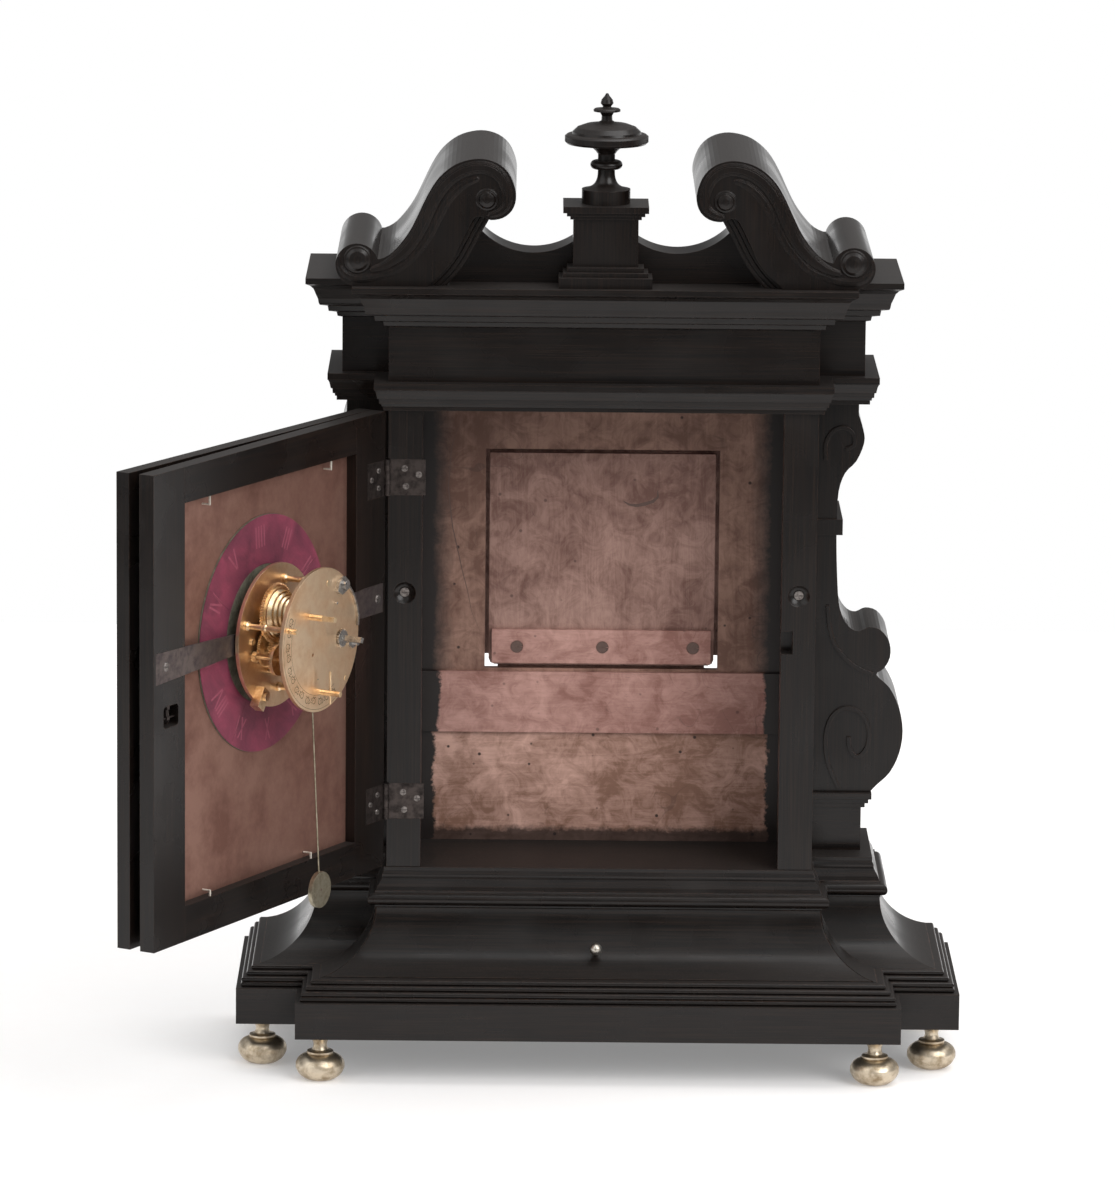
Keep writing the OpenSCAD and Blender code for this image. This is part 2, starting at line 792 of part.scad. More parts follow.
module hatch_panel() {
  x0 = hatch_x - hatch_w / 2 + hatch_gap;
  x1 = hatch_x + hatch_w / 2 - hatch_gap;
  z0 = hatch_z + hatch_gap;
  z1 = hatch_z + hatch_h - hatch_gap;
  lap_x0 = hatch_x - hatch_w / 2 - 3.4;
  lap_x1 = hatch_x + hatch_w / 2 + 0.8;
  lap_z0 = hatch_z - 3.4;
  lap_z1 = hatch_z + hatch_h + 3.4;
  color([0.57, 0.44, 0.37])
    place()
      difference() {
        union() {
          layer(back_y, back_y + back_t)
            polygon([[x0 + 4, z0], [x1 - 4, z0], [x1 - 1.2, z0 + 1.2], [x1, z0 + 4], [x1, z1],
              [x0, z1], [x0, z0 + 4], [x0 + 1.2, z0 + 1.2]]);
          // Lip that laps over the rebate and closes the gap, cut short at the lower corners.
          layer(back_y + back_t - 4.3, back_y + back_t)
            polygon([[x0 + 6, z0 + 1], [x0 + 6, lap_z0], [x1 - 6, lap_z0], [x1 - 6, z0 + 1],
              [x1 - 1, z0 + 6], [lap_x1, z0 + 6], [lap_x1, lap_z1], [lap_x0, lap_z1],
              [lap_x0, z0 + 6], [x0 + 1, z0 + 6]]);
        }
        for (z = hatch_leaf_z)
          for (dz = [5, 17])
            screw_hole(hatch_axis[0] - 16, back_y + back_t - 8, z + dz, 9);
      }
}

plug_x = [-55.3, 1.4, 61.5];

module hatch_batten() {
  x0 = hatch_x - hatch_w / 2 + hatch_gap;
  x1 = hatch_x + hatch_w / 2 - hatch_gap;
  z0 = hatch_z + hatch_gap;
  color([0.50, 0.37, 0.31])
    place() {
      difference() {
        box(x0 + 2, x1 - 2, back_y - 3, back_y, z0 + 1.4, z0 + 24);
        for (x = plug_x)
          translate([x, back_y - 4, z0 + 12.4])
            rotate([-90, 0, 0])
              cylinder(h = 6, r = 4.2);
      }
      for (x = plug_x)
        translate([x, back_y - 2.6, z0 + 12.4])
          rotate([-90, 0, 0])
            cylinder(h = 2.6, r = 4.1);
    }
}

module hatch_hinges_fixed() {
  color([0.30, 0.29, 0.28])
    place()
      for (z = hatch_leaf_z)
        translate([hatch_axis[0], hatch_axis[1], z])
          difference() {
            union() {
              box(0, 22, -1.7, -0.5, 0, 22);
              for (s = [0, 14.8])
                translate([0, 0, s])
                  cylinder(h = 7.2, r = 1.7);
              cylinder(h = 22, r = pin_r);
            }
            translate([0, 0, 7.2])
              difference() {
                cylinder(h = 7.6, r = 2);
                cylinder(h = 7.6, r = pin_r);
              }
          }
}

module hatch_hinges_moving() {
  color([0.32, 0.31, 0.30])
    place()
      for (z = hatch_leaf_z)
        translate([hatch_axis[0], hatch_axis[1], z]) {
          difference() {
            union() {
              box(-22, 0, -1.7, -0.5, 0, 22);
              translate([0, 0, 7.4])
                cylinder(h = 7.2, r = 1.7);
            }
            for (s = [-1, 14.6])
              translate([0, 0, s])
                cylinder(h = 8.4, r = 1.9);
            cylinder(h = 30, r = pin_r + run);
            for (dz = [5, 17])
              translate([-16, -3, dz])
                rotate([-90, 0, 0])
                  cylinder(h = 5, r = screw_r + bite);
          }
          for (dz = [5, 17])
            translate([-16, 0, dz])
              rotate([90, 0, 0])
                union() {
                  translate([0, 0, -0.2])
                    cylinder(h = 0.7, r = 2);
                  cylinder(h = 8, r = screw_r);
                }
        }
}

module hatch_button() {
  x0 = hatch_x - hatch_w / 2 - 10;
  y0 = back_y + back_t + 0.3;
  z0 = hatch_z + 70;
  color([0.20, 0.17, 0.15])
    place() {
      difference() {
        layer(y0, y0 + 6) {
          translate([x0 - 6, z0 - 19])
            square([12, 38]);
          translate([x0, z0 - 19])
            circle(6);
          translate([x0, z0 + 19])
            circle(6);
        }
        screw_hole(x0, y0 - 1, z0, 9);
      }
      translate([x0, back_y + 4, z0])
        rotate([-90, 0, 0])
          union() {
            cylinder(h = back_t + 3.5, r = screw_r);
            translate([0, 0, back_t + 2.3])
              cylinder(h = 1.2, r = 2.6);
          }
    }
}

// Dial door.

lock_u = 259.1;
lock_z = 251.3;
rebate = 6;
plate_d = door_front + 2;

module door_frame_bar(u0, u1, z0, z1) {
  difference() {
    box(u0, u1, door_front, door_face, z0, z1);
    box(open_u - rebate, open_u + open_w + rebate, door_front - 1, plate_d + plate_t,
      open_z - rebate, open_z + open_h + rebate);
  }
}

door_leaf_screws = [[9.6, 17.6], [18.4, 12.6], [9.8, 6.2]];

module hinge_pocket() {
  for (z = case_leaf_z) {
    box(-1, 23.5, door_face - leaf_t, door_face + 1, z, z + leaf_h);
    translate([0, 0, z])
      cylinder(h = leaf_h, r = knuckle_r + 0.4);
    for (s = door_leaf_screws)
      translate([s[0], door_face + 1, z + s[1]])
        rotate([90, 0, 0])
          cylinder(h = 8, r = screw_r + bite);
  }
}

module strap_shape() {
  polygon([[3.6, -9.6], [27.6, -9.6], [60, -7.6], [96, -6.5], [183, -6.5], [240, -8.8], [276.4, -10],
    [276.4, 10], [240, 8.8], [183, 6.5], [96, 6.5], [60, 7.6], [27.6, 9.6], [3.6, 9.6]]);
}

strap_z = 283.5;
strap_screw_u = [9.9, 264.8];

module strap_pocket() {
  translate([0, 0, strap_z])
    layer(door_face - strap_t, door_face + 1)
      strap_shape();
  for (u = strap_screw_u)
    translate([u, door_face + 1, strap_z])
      rotate([90, 0, 0])
        cylinder(h = 9, r = screw_r + bite);
}

module dial_stile_hinge() {
  color([0.06, 0.05, 0.05])
    on_door()
      difference() {
        door_frame_bar(door_in, open_u, door_z, door_z + door_h);
        hinge_pocket();
        strap_pocket();
        glazed_leaf_pockets();
      }
}

module dial_stile_free() {
  color([0.06, 0.05, 0.05])
    on_door()
      difference() {
        door_frame_bar(open_u + open_w, door_in + door_w, door_z, door_z + door_h);
        strap_pocket();
        layer(door_face - 7, door_face + 1)
          translate([lock_u, lock_z]) {
            translate([-8.5, -4.3])
              square([17, 8.6]);
            translate([-6, -6.8])
              square([12, 13.6]);
            for (a = [-1, 1], b = [-1, 1])
              translate([a * 6, b * 4.3])
                circle(2.5);
          }
      }
}

// Nails that hold the dial plate: along the door, up, and the way the bent end points.
nail_spots = [[211.9, 377.6, 1], [66.5, 377.6, 1], [211.5, 130, -1], [90, 130, -1]];

module dial_rails() {
  color([0.06, 0.05, 0.05])
    on_door()
      difference() {
        union() {
          door_frame_bar(open_u, open_u + open_w, door_z, open_z);
          door_frame_bar(open_u, open_u + open_w, open_z + open_h, door_z + door_h);
        }
        for (s = nail_spots)
          translate([s[0] - 0.6 - bite, door_face - 3, s[1] - (s[2] > 0 ? 1 : 7 + bite)])
            cube([1.2 + 2 * bite, 2.6, 8 + bite]);
      }
}

// Numerals pierced in the hour disc, built of plain strokes and turned to their hour.
function strokes(h) =
  h == 1 ? [0] : h == 2 ? [-1.6, 1.6] : h == 3 ? [-3.2, 0, 3.2] : h == 4 ? [-4.8, -1.6, 1.6, 4.8] :
  h == 6 ? [3.6] : h == 7 ? [2.6, 5.4] : h == 8 ? [1.6, 4.4, 7.2] : h == 9 ? [-4.6] :
  h == 11 ? [4.6] : h == 12 ? [3.2, 6] : [];

module slant(x, a) {
  translate([x, 63])
    rotate(a)
      square([1.5, 14], center = true);
}

module numeral(h) {
  for (s = strokes(h))
    translate([s, 63])
      square([1.6, 14], center = true);
  v_at = h == 5 ? 0 : h == 6 ? -2 : h == 7 ? -3 : h == 8 ? -4 : -99;
  if (v_at > -90) {
    slant(v_at - 2, 14);
    slant(v_at + 2, -14);
  }
  x_at = h == 9 ? 1.6 : h == 10 ? 0 : h == 11 ? -1.6 : h == 12 ? -2.8 : -99;
  if (x_at > -90) {
    slant(x_at, 20);
    slant(x_at, -20);
  }
}

module dial_plate() {
  color([0.55, 0.36, 0.28])
    on_door()
      difference() {
        box(open_u - rebate, open_u + open_w + rebate, plate_d, plate_d + plate_t,
          open_z - rebate, open_z + open_h + rebate);
        layer(plate_d - 1, plate_d + plate_t + 1)
          translate([disc_u, disc_z])
            intersection() {
              difference() {
                circle(71);
                circle(55);
              }
              polygon([[-90, 24], [-30, 8], [30, 8], [90, 24], [90, 90], [-90, 90]]);
            }
      }
}

module plate_nails() {
  color([0.62, 0.60, 0.56])
    on_door()
      for (s = nail_spots)
        translate([s[0], 0, s[1]])
          rotate([90, 0, 0])
            translate([0, 0, -door_face + 1])
              union() {
                cylinder(h = door_t - 2 - plate_t - 1 - seat, r = 0.6);
                translate([-0.6, s[2] > 0 ? 0 : -7, 0])
                  cube([1.2, 7, 0.9]);
              }
}

module strap() {
  color([0.33, 0.31, 0.29])
    on_door()
      difference() {
        union() {
          translate([0, 0, strap_z])
            layer(door_face - strap_t, door_face)
              strap_shape();
          translate([disc_u, door_face, disc_z])
            disc_at([0, 0], -7.25, -0.5, 2);
        }
        for (u = strap_screw_u)
          translate([u, door_face + 1, strap_z])
            rotate([90, 0, 0])
              cylinder(h = 8, r = screw_r + bite);
        for (s = movement_screws)
          translate([disc_u, door_face, disc_z])
            disc_at(s, -4, 1, screw_r + bite);
      }
}

movement_screws = [[-30, 0.4], [30, 0.4]];

module back_screw(u, z, r, len) {
  translate([u, door_face + 0.9, z])
    rotate([90, 0, 0])
      difference() {
        union() {
          cylinder(h = 0.9, r1 = r * 0.8, r2 = r);
          cylinder(h = len, r = screw_r);
        }
        translate([-r, -0.25, -0.1])
          cube([2 * r, 0.5, 0.6]);
      }
}

module door_screws() {
  color([0.40, 0.39, 0.37])
    on_door() {
      for (u = strap_screw_u)
        back_screw(u, strap_z, 3, 7.6);
      for (z = case_leaf_z)
        for (s = door_leaf_screws)
          back_screw(s[0], z + s[1], 2, 6.4);
    }
}

// Butt hinge of the dial door: fixed half with its pin, on the left stile.
module door_hinges_fixed() {
  color([0.20, 0.19, 0.18])
    place()
      for (z = case_leaf_z)
        translate([axis_x, axis_y, z])
          difference() {
            union() {
              box(0, 25, body_y - axis_y, body_y - axis_y + leaf_t, 0, leaf_h);
              cylinder(h = 7.6, r = knuckle_r);
              translate([0, 0, leaf_h - 7.6])
                cylinder(h = 7.6, r = knuckle_r);
            }
            translate([0, 0, 7.6])
              difference() {
                cylinder(h = leaf_h - 15.2, r = knuckle_r + 0.4);
                cylinder(h = leaf_h, r = pin_r);
              }
            for (s = case_leaf_screws)
              translate([s[0], body_y - axis_y - 0.01, s[1]])
                rotate([-90, 0, 0])
                  union() {
                    cylinder(h = 20, r = screw_r + bite);
                    cylinder(h = 1.02, r1 = 2.12, r2 = 1.49);
                  }
          }
  color([0.20, 0.19, 0.18])
    place()
      for (z = case_leaf_z)
        translate([axis_x, axis_y, z + 7.6])
          cylinder(h = leaf_h - 15.2, r = pin_r);
}

module door_hinges_moving() {
  color([0.22, 0.21, 0.20])
    on_door()
      for (z = case_leaf_z)
        translate([0, 0, z])
          difference() {
            union() {
              box(0, 23.1, door_face - leaf_t, door_face, 0, leaf_h);
              translate([0, 0, 7.8])
                cylinder(h = leaf_h - 15.6, r = knuckle_r);
            }
            for (s = [-1, leaf_h - 7.8])
              translate([0, 0, s])
                cylinder(h = 8.8, r = knuckle_r + 0.3);
            cylinder(h = leaf_h, r = pin_r + run);
            for (s = door_leaf_screws)
              translate([s[0], 3, s[1]])
                rotate([90, 0, 0])
                  cylinder(h = 8, r = screw_r + bite);
          }
}

hook_pivot = [lock_u, door_face - 3.4, lock_z - 1.6];

module lock_hook() {
  color([0.52, 0.50, 0.46])
    on_door() {
      difference() {
        translate([lock_u + 1.5, 0, 0])
          rotate([0, -90, 0])
            linear_extrude(3)
              translate([hook_pivot[2], hook_pivot[1]])
                polygon([[-1.2, -1.5], [6.8, -1.5], [7.7, -0.6], [7.7, 1.4], [5.4, 1.4], [5.4, 0.4],
                  [1.6, 1.1], [0.6, 1.5], [-1.2, 1.4]]);
        translate([lock_u - 8, hook_pivot[1], hook_pivot[2]])
          rotate([0, 90, 0])
            cylinder(h = 16, r = 0.6);
      }
      translate([lock_u - 8.2, hook_pivot[1], hook_pivot[2]])
        rotate([0, 90, 0])
          cylinder(h = 16.4, r = 0.6);
    }
}

// Glazed door.

glazed_leaf_z = [378, 112];
glazed_leaf_h = 18;

module glazed_leaf_pockets() {
  for (z = glazed_leaf_z)
    box(0, door_in + 1, door_front - 12, -3, z - 0.2, z + glazed_leaf_h + 0.2);
}

module glazed_bar(u0, u1, z0, z1) {
  difference() {
    box(u0, u1, glazed_back - glazed_t, glazed_back, z0, z1);
    box(open_u - 5, open_u + open_w + 5, glazed_back - glass_t - 1.6, glazed_back + 1,
      open_z - 5, open_z + open_h + 5);
    glazed_leaf_pockets();
  }
}

module glazed_stiles() {
  color([0.06, 0.05, 0.05])
    on_glazed() {
      glazed_bar(door_in, open_u, door_z, door_z + door_h);
      glazed_bar(open_u + open_w, door_in + door_w, door_z, door_z + door_h);
    }
}

module glazed_rails() {
  color([0.06, 0.05, 0.05])
    on_glazed() {
      glazed_bar(open_u, open_u + open_w, door_z, open_z);
      glazed_bar(open_u, open_u + open_w, open_z + open_h, door_z + door_h);
    }
}

module glass_pane() {
  color([0.80, 0.88, 0.86, 0.35])
    on_glazed()
      box(open_u - 4.8, open_u + open_w + 4.8, glazed_back - glass_t - 1.6, glazed_back - 1.6,
        open_z - 4.8, open_z + open_h + 4.8);
}

module glazed_hinges_inner() {
  color([0.24, 0.23, 0.22])
    on_door()
      for (z = glazed_leaf_z)
        translate([glazed_u, glazed_v, z]) {
          difference() {
            union() {
              box(1, door_in + 1 - glazed_u, 0.6, 7.6, 0, glazed_leaf_h);
              for (s = [0, 12.2])
                translate([0, 0, s])
                  cylinder(h = 5.8, r = 1.5);
            }
            translate([0, 0, 5.8])
              cylinder(h = 6.4, r = 1.7);
          }
          cylinder(h = glazed_leaf_h, r = 0.7);
        }
}

module glazed_hinges_outer() {
  color([0.26, 0.25, 0.24])
    on_glazed()
      for (z = glazed_leaf_z)
        translate([glazed_u, glazed_v, z])
          difference() {
            union() {
              box(1, door_in + 1 - glazed_u, -7.6, -0.6, 0, glazed_leaf_h);
              translate([0, 0, 6])
                cylinder(h = 6, r = 1.5);
            }
            for (s = [-1, 12])
              translate([0, 0, s])
                cylinder(h = 7, r = 1.7);
            cylinder(h = glazed_leaf_h, r = 0.7 + run);
          }
}

// Movement plates and what stands on them.

module front_plate() {
  color([0.86, 0.70, 0.40])
    on_movement()
      difference() {
        union() {
          disc_at([0, 0], front_d, inner_d, mov_r);
          for (s = movement_screws)
            disc_at(s, 0, front_d, 4);
        }
        for (p = pillars_at)
          disc_at(p, front_d - 1, inner_d + 1, 1.5 + bite);
        disc_at(fusee_at, front_d - 1, inner_d + 1, 1.5 + run);
        disc_at(barrel_at, front_d - 1, inner_d + 1, 1.5 + bite);
        disc_at(second_at, front_d - 1, inner_d + 1, 0.6 + run);
        disc_at(contrate_at, front_d - 1, inner_d + 1, 0.6 + run);
        disc_at(verge_at, front_d - 1, inner_d + 1, 0.5 + run);
        for (s = movement_screws)
          disc_at(s, -1, inner_d + 1, screw_r + bite);
      }
}

module rear_plate() {
  color([0.88, 0.72, 0.42])
    on_movement()
      difference() {
        disc_at([0, 0], rear_d, out_d, mov_r);
        for (p = pillars_at)
          disc_at(p, rear_d - 1, out_d + 1, 1.8 + bite);
        disc_at(fusee_at, rear_d - 1, out_d + 1, 2 + run);
        disc_at(barrel_at, rear_d - 1, out_d + 1, 1.5 + bite);
        disc_at(second_at, rear_d - 1, out_d + 1, 0.6 + run);
        disc_at(contrate_at, rear_d - 1, out_d + 1, 0.6 + run);
        disc_at(verge_at, rear_d - 1, out_d + 1, 0.5 + run);
        disc_at([9.2, -8.2], rear_d - 1, out_d + 1, 1.1);
      }
}

module pillar(p, nub, nub_r) {
  translate([p[0], 0, p[1]])
    rotate([-90, 0, 0])
      rotate_extrude()
        polygon([[0, front_d], [1.5, front_d], [1.5, inner_d], [3, inner_d], [3, inner_d + 1.6],
          [1.9, inner_d + 2.6], [1.8, inner_d + 12], [2.4, inner_d + 13], [2.4, inner_d + 14.4],
          [1.8, inner_d + 15.4], [1.8, rear_d - 1], [2.6, rear_d - 0.6], [2.6, rear_d],
          [1.8, rear_d], [1.8, out_d], [nub_r, out_d], [nub_r, out_d + nub], [0, out_d + nub]]);
}

module pillars() {
  color([0.84, 0.68, 0.38])
    on_movement() {
      difference() {
        union() {
          pillar(pillars_at[0], 5, 1.8);
          pillar(pillars_at[1], 13.8, 1.8);
          pillar(pillars_at[2], 0.2, 1.8);
          pillar(pillars_at[3], 0.2, 1.8);
        }
        translate([pillars_at[1][0], out_d + 6.4, pillars_at[1][1] - 12])
          cylinder(h = 30, r = 0.55 + bite);
        translate([pillars_at[0][0] - 6, out_d + 2.6, pillars_at[0][1]])
          rotate([0, 90, 0])
            cylinder(h = 12, r = 0.45 + bite);
      }
      translate([pillars_at[1][0], out_d + 6.4, pillars_at[1][1] - 7])
        cylinder(h = 21, r = 0.55);
      translate([pillars_at[0][0] - 4.6, out_d + 2.6, pillars_at[0][1]])
        rotate([0, 90, 0])
          cylinder(h = 9, r = 0.45);
      for (s = movement_screws) {
        disc_at(s, -1.5, inner_d, 0.9);
        disc_at(s, inner_d, inner_d + 1.2, 2.2);
      }
    }
}

// Barrel, fusee and line.

module barrel() {
  color([0.85, 0.68, 0.38])
    on_movement()
      difference() {
        disc_at(barrel_at, 9, 31, barrel_r);
        disc_at(barrel_at, 10.4, 29.6, barrel_r - 1.3);
        disc_at(barrel_at, 8, 32, 2.2 + run);
      }
}

module mainspring() {
  turns = 6;
  steps = turns * 24;
  outer = barrel_r - 2;
  grow = (outer - 4) / turns;
  spiral = [for (i = [0 : steps])
    (4 + grow * i / 24) * [cos(i * 15), sin(i * 15)]];
  echo("least gap between the turns of the mainspring", grow - 0.5);
  color([0.42, 0.44, 0.50])
    on_movement()
      layer(11, 29)
        translate(barrel_at)
          polygon(ribbon(spiral, 0.5));
}

module barrel_arbor() {
  teeth = 20;
  saw = [for (i = [0 : teeth - 1]) for (k = [0, 1])
    (k == 0 ? 6 : 5) * [cos(-(i + k * 0.15) * 360 / teeth), sin(-(i + k * 0.15) * 360 / teeth)]];
  color([0.55, 0.54, 0.52])
    on_movement() {
      disc_at(barrel_at, front_d, inner_d, 1.5);
      disc_at(barrel_at, inner_d + 0.2, rear_d - 0.2, 2.2);
      disc_at(barrel_at, inner_d, inner_d + 0.2, 1.5);
      disc_at(barrel_at, rear_d - 0.2, out_d + 0.2, 1.5);
      layer(out_d + 0.2, out_d + 1.6)
        translate(barrel_at)
          polygon(saw);
      layer(out_d + 1.6, out_d + 15.6)
        translate(barrel_at)
          rotate(20)
            square(3.4, center = true);
    }
}

module click_work() {
  spring = smooth([[-44, 2], [-44.4, 8.4], [-42, 16.5], [-36.8, 25.2], [-29.4, 32]], 4);
  color([0.82, 0.66, 0.38])
    on_movement() {
      layer(out_d, out_d + 1.6)
        polygon([[-42.6, -10.4], [-36.6, -11.6], [-32.6, -8.9], [-31.6, -7.4], [-34, -6.6], [-38, -6],
          [-42.8, -5.8]]);
      disc_at([-40.4, -8.2], out_d + 1.6, out_d + 3.4, 2);
      layer(out_d, out_d + 1.4)
        polygon(ribbon(spring, 1.4));
      layer(out_d, out_d + 2.6)
        polygon([[-31, 33], [-26, 37], [-19.4, 34.4], [-17, 28.6], [-22.6, 25.6], [-28.4, 27.6]]);
      disc_at([-24.5, 31.8], out_d + 2.6, out_d + 5, 3);
      disc_at([-17.2, 21], out_d, out_d + 2, 0.8);
    }
}

function gear_points(teeth, module_mm, root, tip) =
  let (p = 360 / teeth, r = teeth * module_mm / 2)
  [for (i = [0 : teeth - 1]) for (k = [[-0.30, 0], [-0.17, 1], [-0.07, 2], [0.07, 2], [0.17, 1], [0.30, 0]])
    let (rr = k[1] == 0 ? r - root * module_mm : k[1] == 1 ? r : r + tip * module_mm)
    rr * [cos((i + k[0]) * p), sin((i + k[0]) * p)]];

module gear(teeth, module_mm, at, turn, d0, d1) {
  layer(d0, d1)
    translate(at)
      rotate(turn)
        polygon(gear_points(teeth, module_mm, 1.3, 0.75));
}

// Radius of the fusee at a depth: the curved cone that evens out the spring's pull.
function fusee_radius(d) = 15.4 - 7.2 * sin(90 * (d - 13.2) / 16.8);

module fusee() {
  square_side = 3.2;
  color([0.84, 0.68, 0.40])
    on_movement() {
      gear(great_teeth, great_module, fusee_at, -79.3, 10, 12);
      translate([fusee_at[0], 0, fusee_at[1]])
        rotate([-90, 0, 0])
          rotate_extrude()
            polygon(concat([[0, 12], [16.6, 12], [16.6, 13.2]],
              [for (d = [13.2 : 2.8 : 30]) [fusee_radius(d), d]],
              [[7, 30], [7, 31], [0, 31]]));
      gear(hour_leaves, hour_module, fusee_at, atan2(fusee_at[1], fusee_at[0]) + 180 + 22.5, -4.2, -1.9);
      disc_at(fusee_at, -1.9, inner_d, 1.5);
      disc_at(fusee_at, inner_d, 10, 2.4);
      disc_at(fusee_at, 31, rear_d, 2.4);
      disc_at(fusee_at, rear_d, out_d + 9, 2);
      layer(out_d + 9, out_d + 18)
        translate(fusee_at)
          rotate(12)
            square(square_side, center = true);
    }
}

// The gut: wound on the fusee, straight to the barrel, then laid round the drum.
gut_gap = 0.12;
gut_out = barrel_r + gut_d / 2 + gut_gap;
gut_leave_d = 24.6;
gut_leave_r = fusee_radius(gut_leave_d) + gut_d / 2 + 0.5;
gut_line_v = barrel_at - fusee_at;
gut_side = atan2(gut_line_v[1], gut_line_v[0]) + acos((gut_leave_r - gut_out) / norm(gut_line_v));
gut_loops = 4;
gut_path = concat(
  [for (i = [0 : gut_loops * 24])
    let (s = i / (gut_loops * 24), d = 14.6 + (gut_leave_d - 14.6) * s,
      r = fusee_radius(d) + gut_d / 2 + 0.5, a = gut_side + 360 * gut_loops * (1 - s))
    [fusee_at[0] + r * cos(a), d, fusee_at[1] + r * sin(a)]],
  [for (i = [0 : 34])
    let (a = gut_side - i * 15, d = gut_leave_d - i * 0.09)
    [barrel_at[0] + gut_out * cos(a), d, barrel_at[1] + gut_out * sin(a)]]);

module tube(path, r, sides) {
  n = len(path);
  pts = [for (i = [0 : n - 1])
    let (t = unit(path[min(i + 1, n - 1)] - path[max(i - 1, 0)]),
      a = unit(cross(t, [0, 1, 0])), b = cross(a, t))
    for (k = [0 : sides - 1])
      path[i] + r * (a * cos(k * 360 / sides) + b * sin(k * 360 / sides))];
  walls = [for (i = [0 : n - 2]) for (k = [0 : sides - 1])
    [i * sides + k, i * sides + (k + 1) % sides, (i + 1) * sides + (k + 1) % sides, (i + 1) * sides + k]];
  polyhedron(points = pts, faces = concat(walls,
    [[for (k = [sides - 1 : -1 : 0]) k]],
    [[for (k = [0 : sides - 1]) (n - 1) * sides + k]]));
}

module gut_line() {
  pitch = (gut_leave_d - 14.6) / gut_loops;
  echo("least gap between the turns of the gut line", min(pitch, 24 * 0.09 * 1) - gut_d);
  color([0.78, 0.70, 0.52])
    on_movement()
      tube(gut_path, gut_d / 2, 6);
}

// Wheels.

module arbor(at, r) {
  disc_at(at, front_d, inner_d + 0.2, 0.6);
  disc_at(at, inner_d + 0.2, rear_d - 0.2, r);
  disc_at(at, rear_d - 0.2, out_d, 0.6);
}

module second_wheel() {
  color([0.83, 0.66, 0.38])
    on_movement() {
      gear(great_leaves, great_module, second_at, -79.3 + 180 + 15, 9.4, 12.6);
      gear(second_teeth, second_module, second_at, -13.1, 6.3, 7.9);
      arbor(second_at, 1.2);
    }
}

module contrate_wheel() {
  color([0.83, 0.66, 0.38])
    on_movement() {
      gear(second_leaves, second_module, contrate_at, -13.1 + 180 + 15, 5.7, 8.6);
      arbor(contrate_at, 1);
      layer(24.4, 25.4)
        translate(contrate_at)
          circle(contrate_r + 1);
      layer(23.6, 24.4)
        translate(contrate_at)
          difference() {
            circle(contrate_r + 1);
            circle(contrate_r - 0.8);
          }
      for (i = [0 : contrate_teeth - 1])
        layer(22, 23.6)
          translate(contrate_at)
            rotate(crown_dir + (i + 0.5) * 360 / contrate_teeth)
              translate([contrate_r - 0.7, -0.24])
                square([1.5, 0.48]);
    }
}

// Local frame with x along the crown wheel's arbor, from the contrate wheel to the verge.
module on_crown() {
  translate([contrate_at[0], crown_d, contrate_at[1]])
    rotate([0, -crown_dir, 0])
      children();
}

crown_teeth = 15;

module crown_wheel() {
  back = crown_run - 6.6;
  color([0.82, 0.65, 0.36])
    on_movement()
      on_crown() {
        translate([back, 0, 0])
          rotate([0, 90, 0]) {
            cylinder(h = 1, r = crown_r);
            difference() {
              cylinder(h = 2, r = crown_r);
              cylinder(h = 3, r = crown_r - 1);
            }
          }
        for (i = [0 : crown_teeth - 1])
          rotate([i * 360 / crown_teeth, 0, 0])
            translate([back + 2, 0, crown_r - 0.9])
              linear_extrude(0.76)
                polygon([[-0.6, -1], [0, -1], [1.7, 0.5], [1.7, 0.9], [-0.6, 0.9]]);
        translate([4.6, 0, 0])
          rotate([0, 90, 0])
            cylinder(h = back - 4.6, r = 0.7);
        translate([contrate_r - 1.9, 0, 0])
          rotate([0, 90, 0])
            linear_extrude(3.8)
              for (i = [0 : contrate_leaves - 1])
                rotate((i + 0.5) * 360 / contrate_leaves) {
                  translate([0, -0.2])
                    square([1.72, 0.4]);
                }
        translate([contrate_r - 1.9, 0, 0])
          rotate([0, 90, 0])
            cylinder(h = 3.8, r = screw_r);
      }
}

module potence() {
  color([0.83, 0.67, 0.38])
    on_movement() {
      difference() {
        intersection() {
          on_crown()
            box(22, 24.9, inner_d - crown_d, 3, -1.8, 1.8);
          layer(inner_d, 30)
            circle(60);
        }
        on_crown()
          translate([20, 0, 0])
            rotate([0, 90, 0])
              cylinder(h = 8, r = 0.7 + run);
      }
      layer(inner_d, inner_d + 6.4)
        rotate(-55)
          translate([38, -4])
            square([13.5, 8]);
      disc_at([24.6, -35.4], inner_d + 6.4, inner_d + 8.2, 2.6);
    }
}

// Verge, pendulum rod and bob turn as one piece.
module verge_pendulum() {
  lean = [sin(rod_lean), -cos(rod_lean)];
  bob_at = verge_at + rod_len * lean;
  rod_d = rear_d - 2.6;
  color([0.60, 0.59, 0.57])
    on_movement() {
      disc_at(verge_at, front_d, inner_d + 0.2, 0.5);
      disc_at(verge_at, inner_d + 0.2, rear_d - 0.2, 0.8);
      disc_at(verge_at, rear_d - 0.2, out_d, 0.5);
      for (s = [-1, 1])
        layer(crown_d + s * (crown_r - 0.5) - 1.1, crown_d + s * (crown_r - 0.5) + 1.1)
          translate(verge_at)
            rotate(crown_dir + 180 + s * 48)
              translate([0, -0.3])
                square([2.1, 0.6]);
      translate([verge_at[0], rod_d, verge_at[1]])
        rotate([0, -rod_lean, 0])
          translate([0, 0, -rod_len - 11.6])
            cylinder(h = rod_len + 11.6, r = 0.55);
      layer(rod_d - 1.4, rod_d + 1.4)
        translate(bob_at)
          circle(bob_r);
    }
}

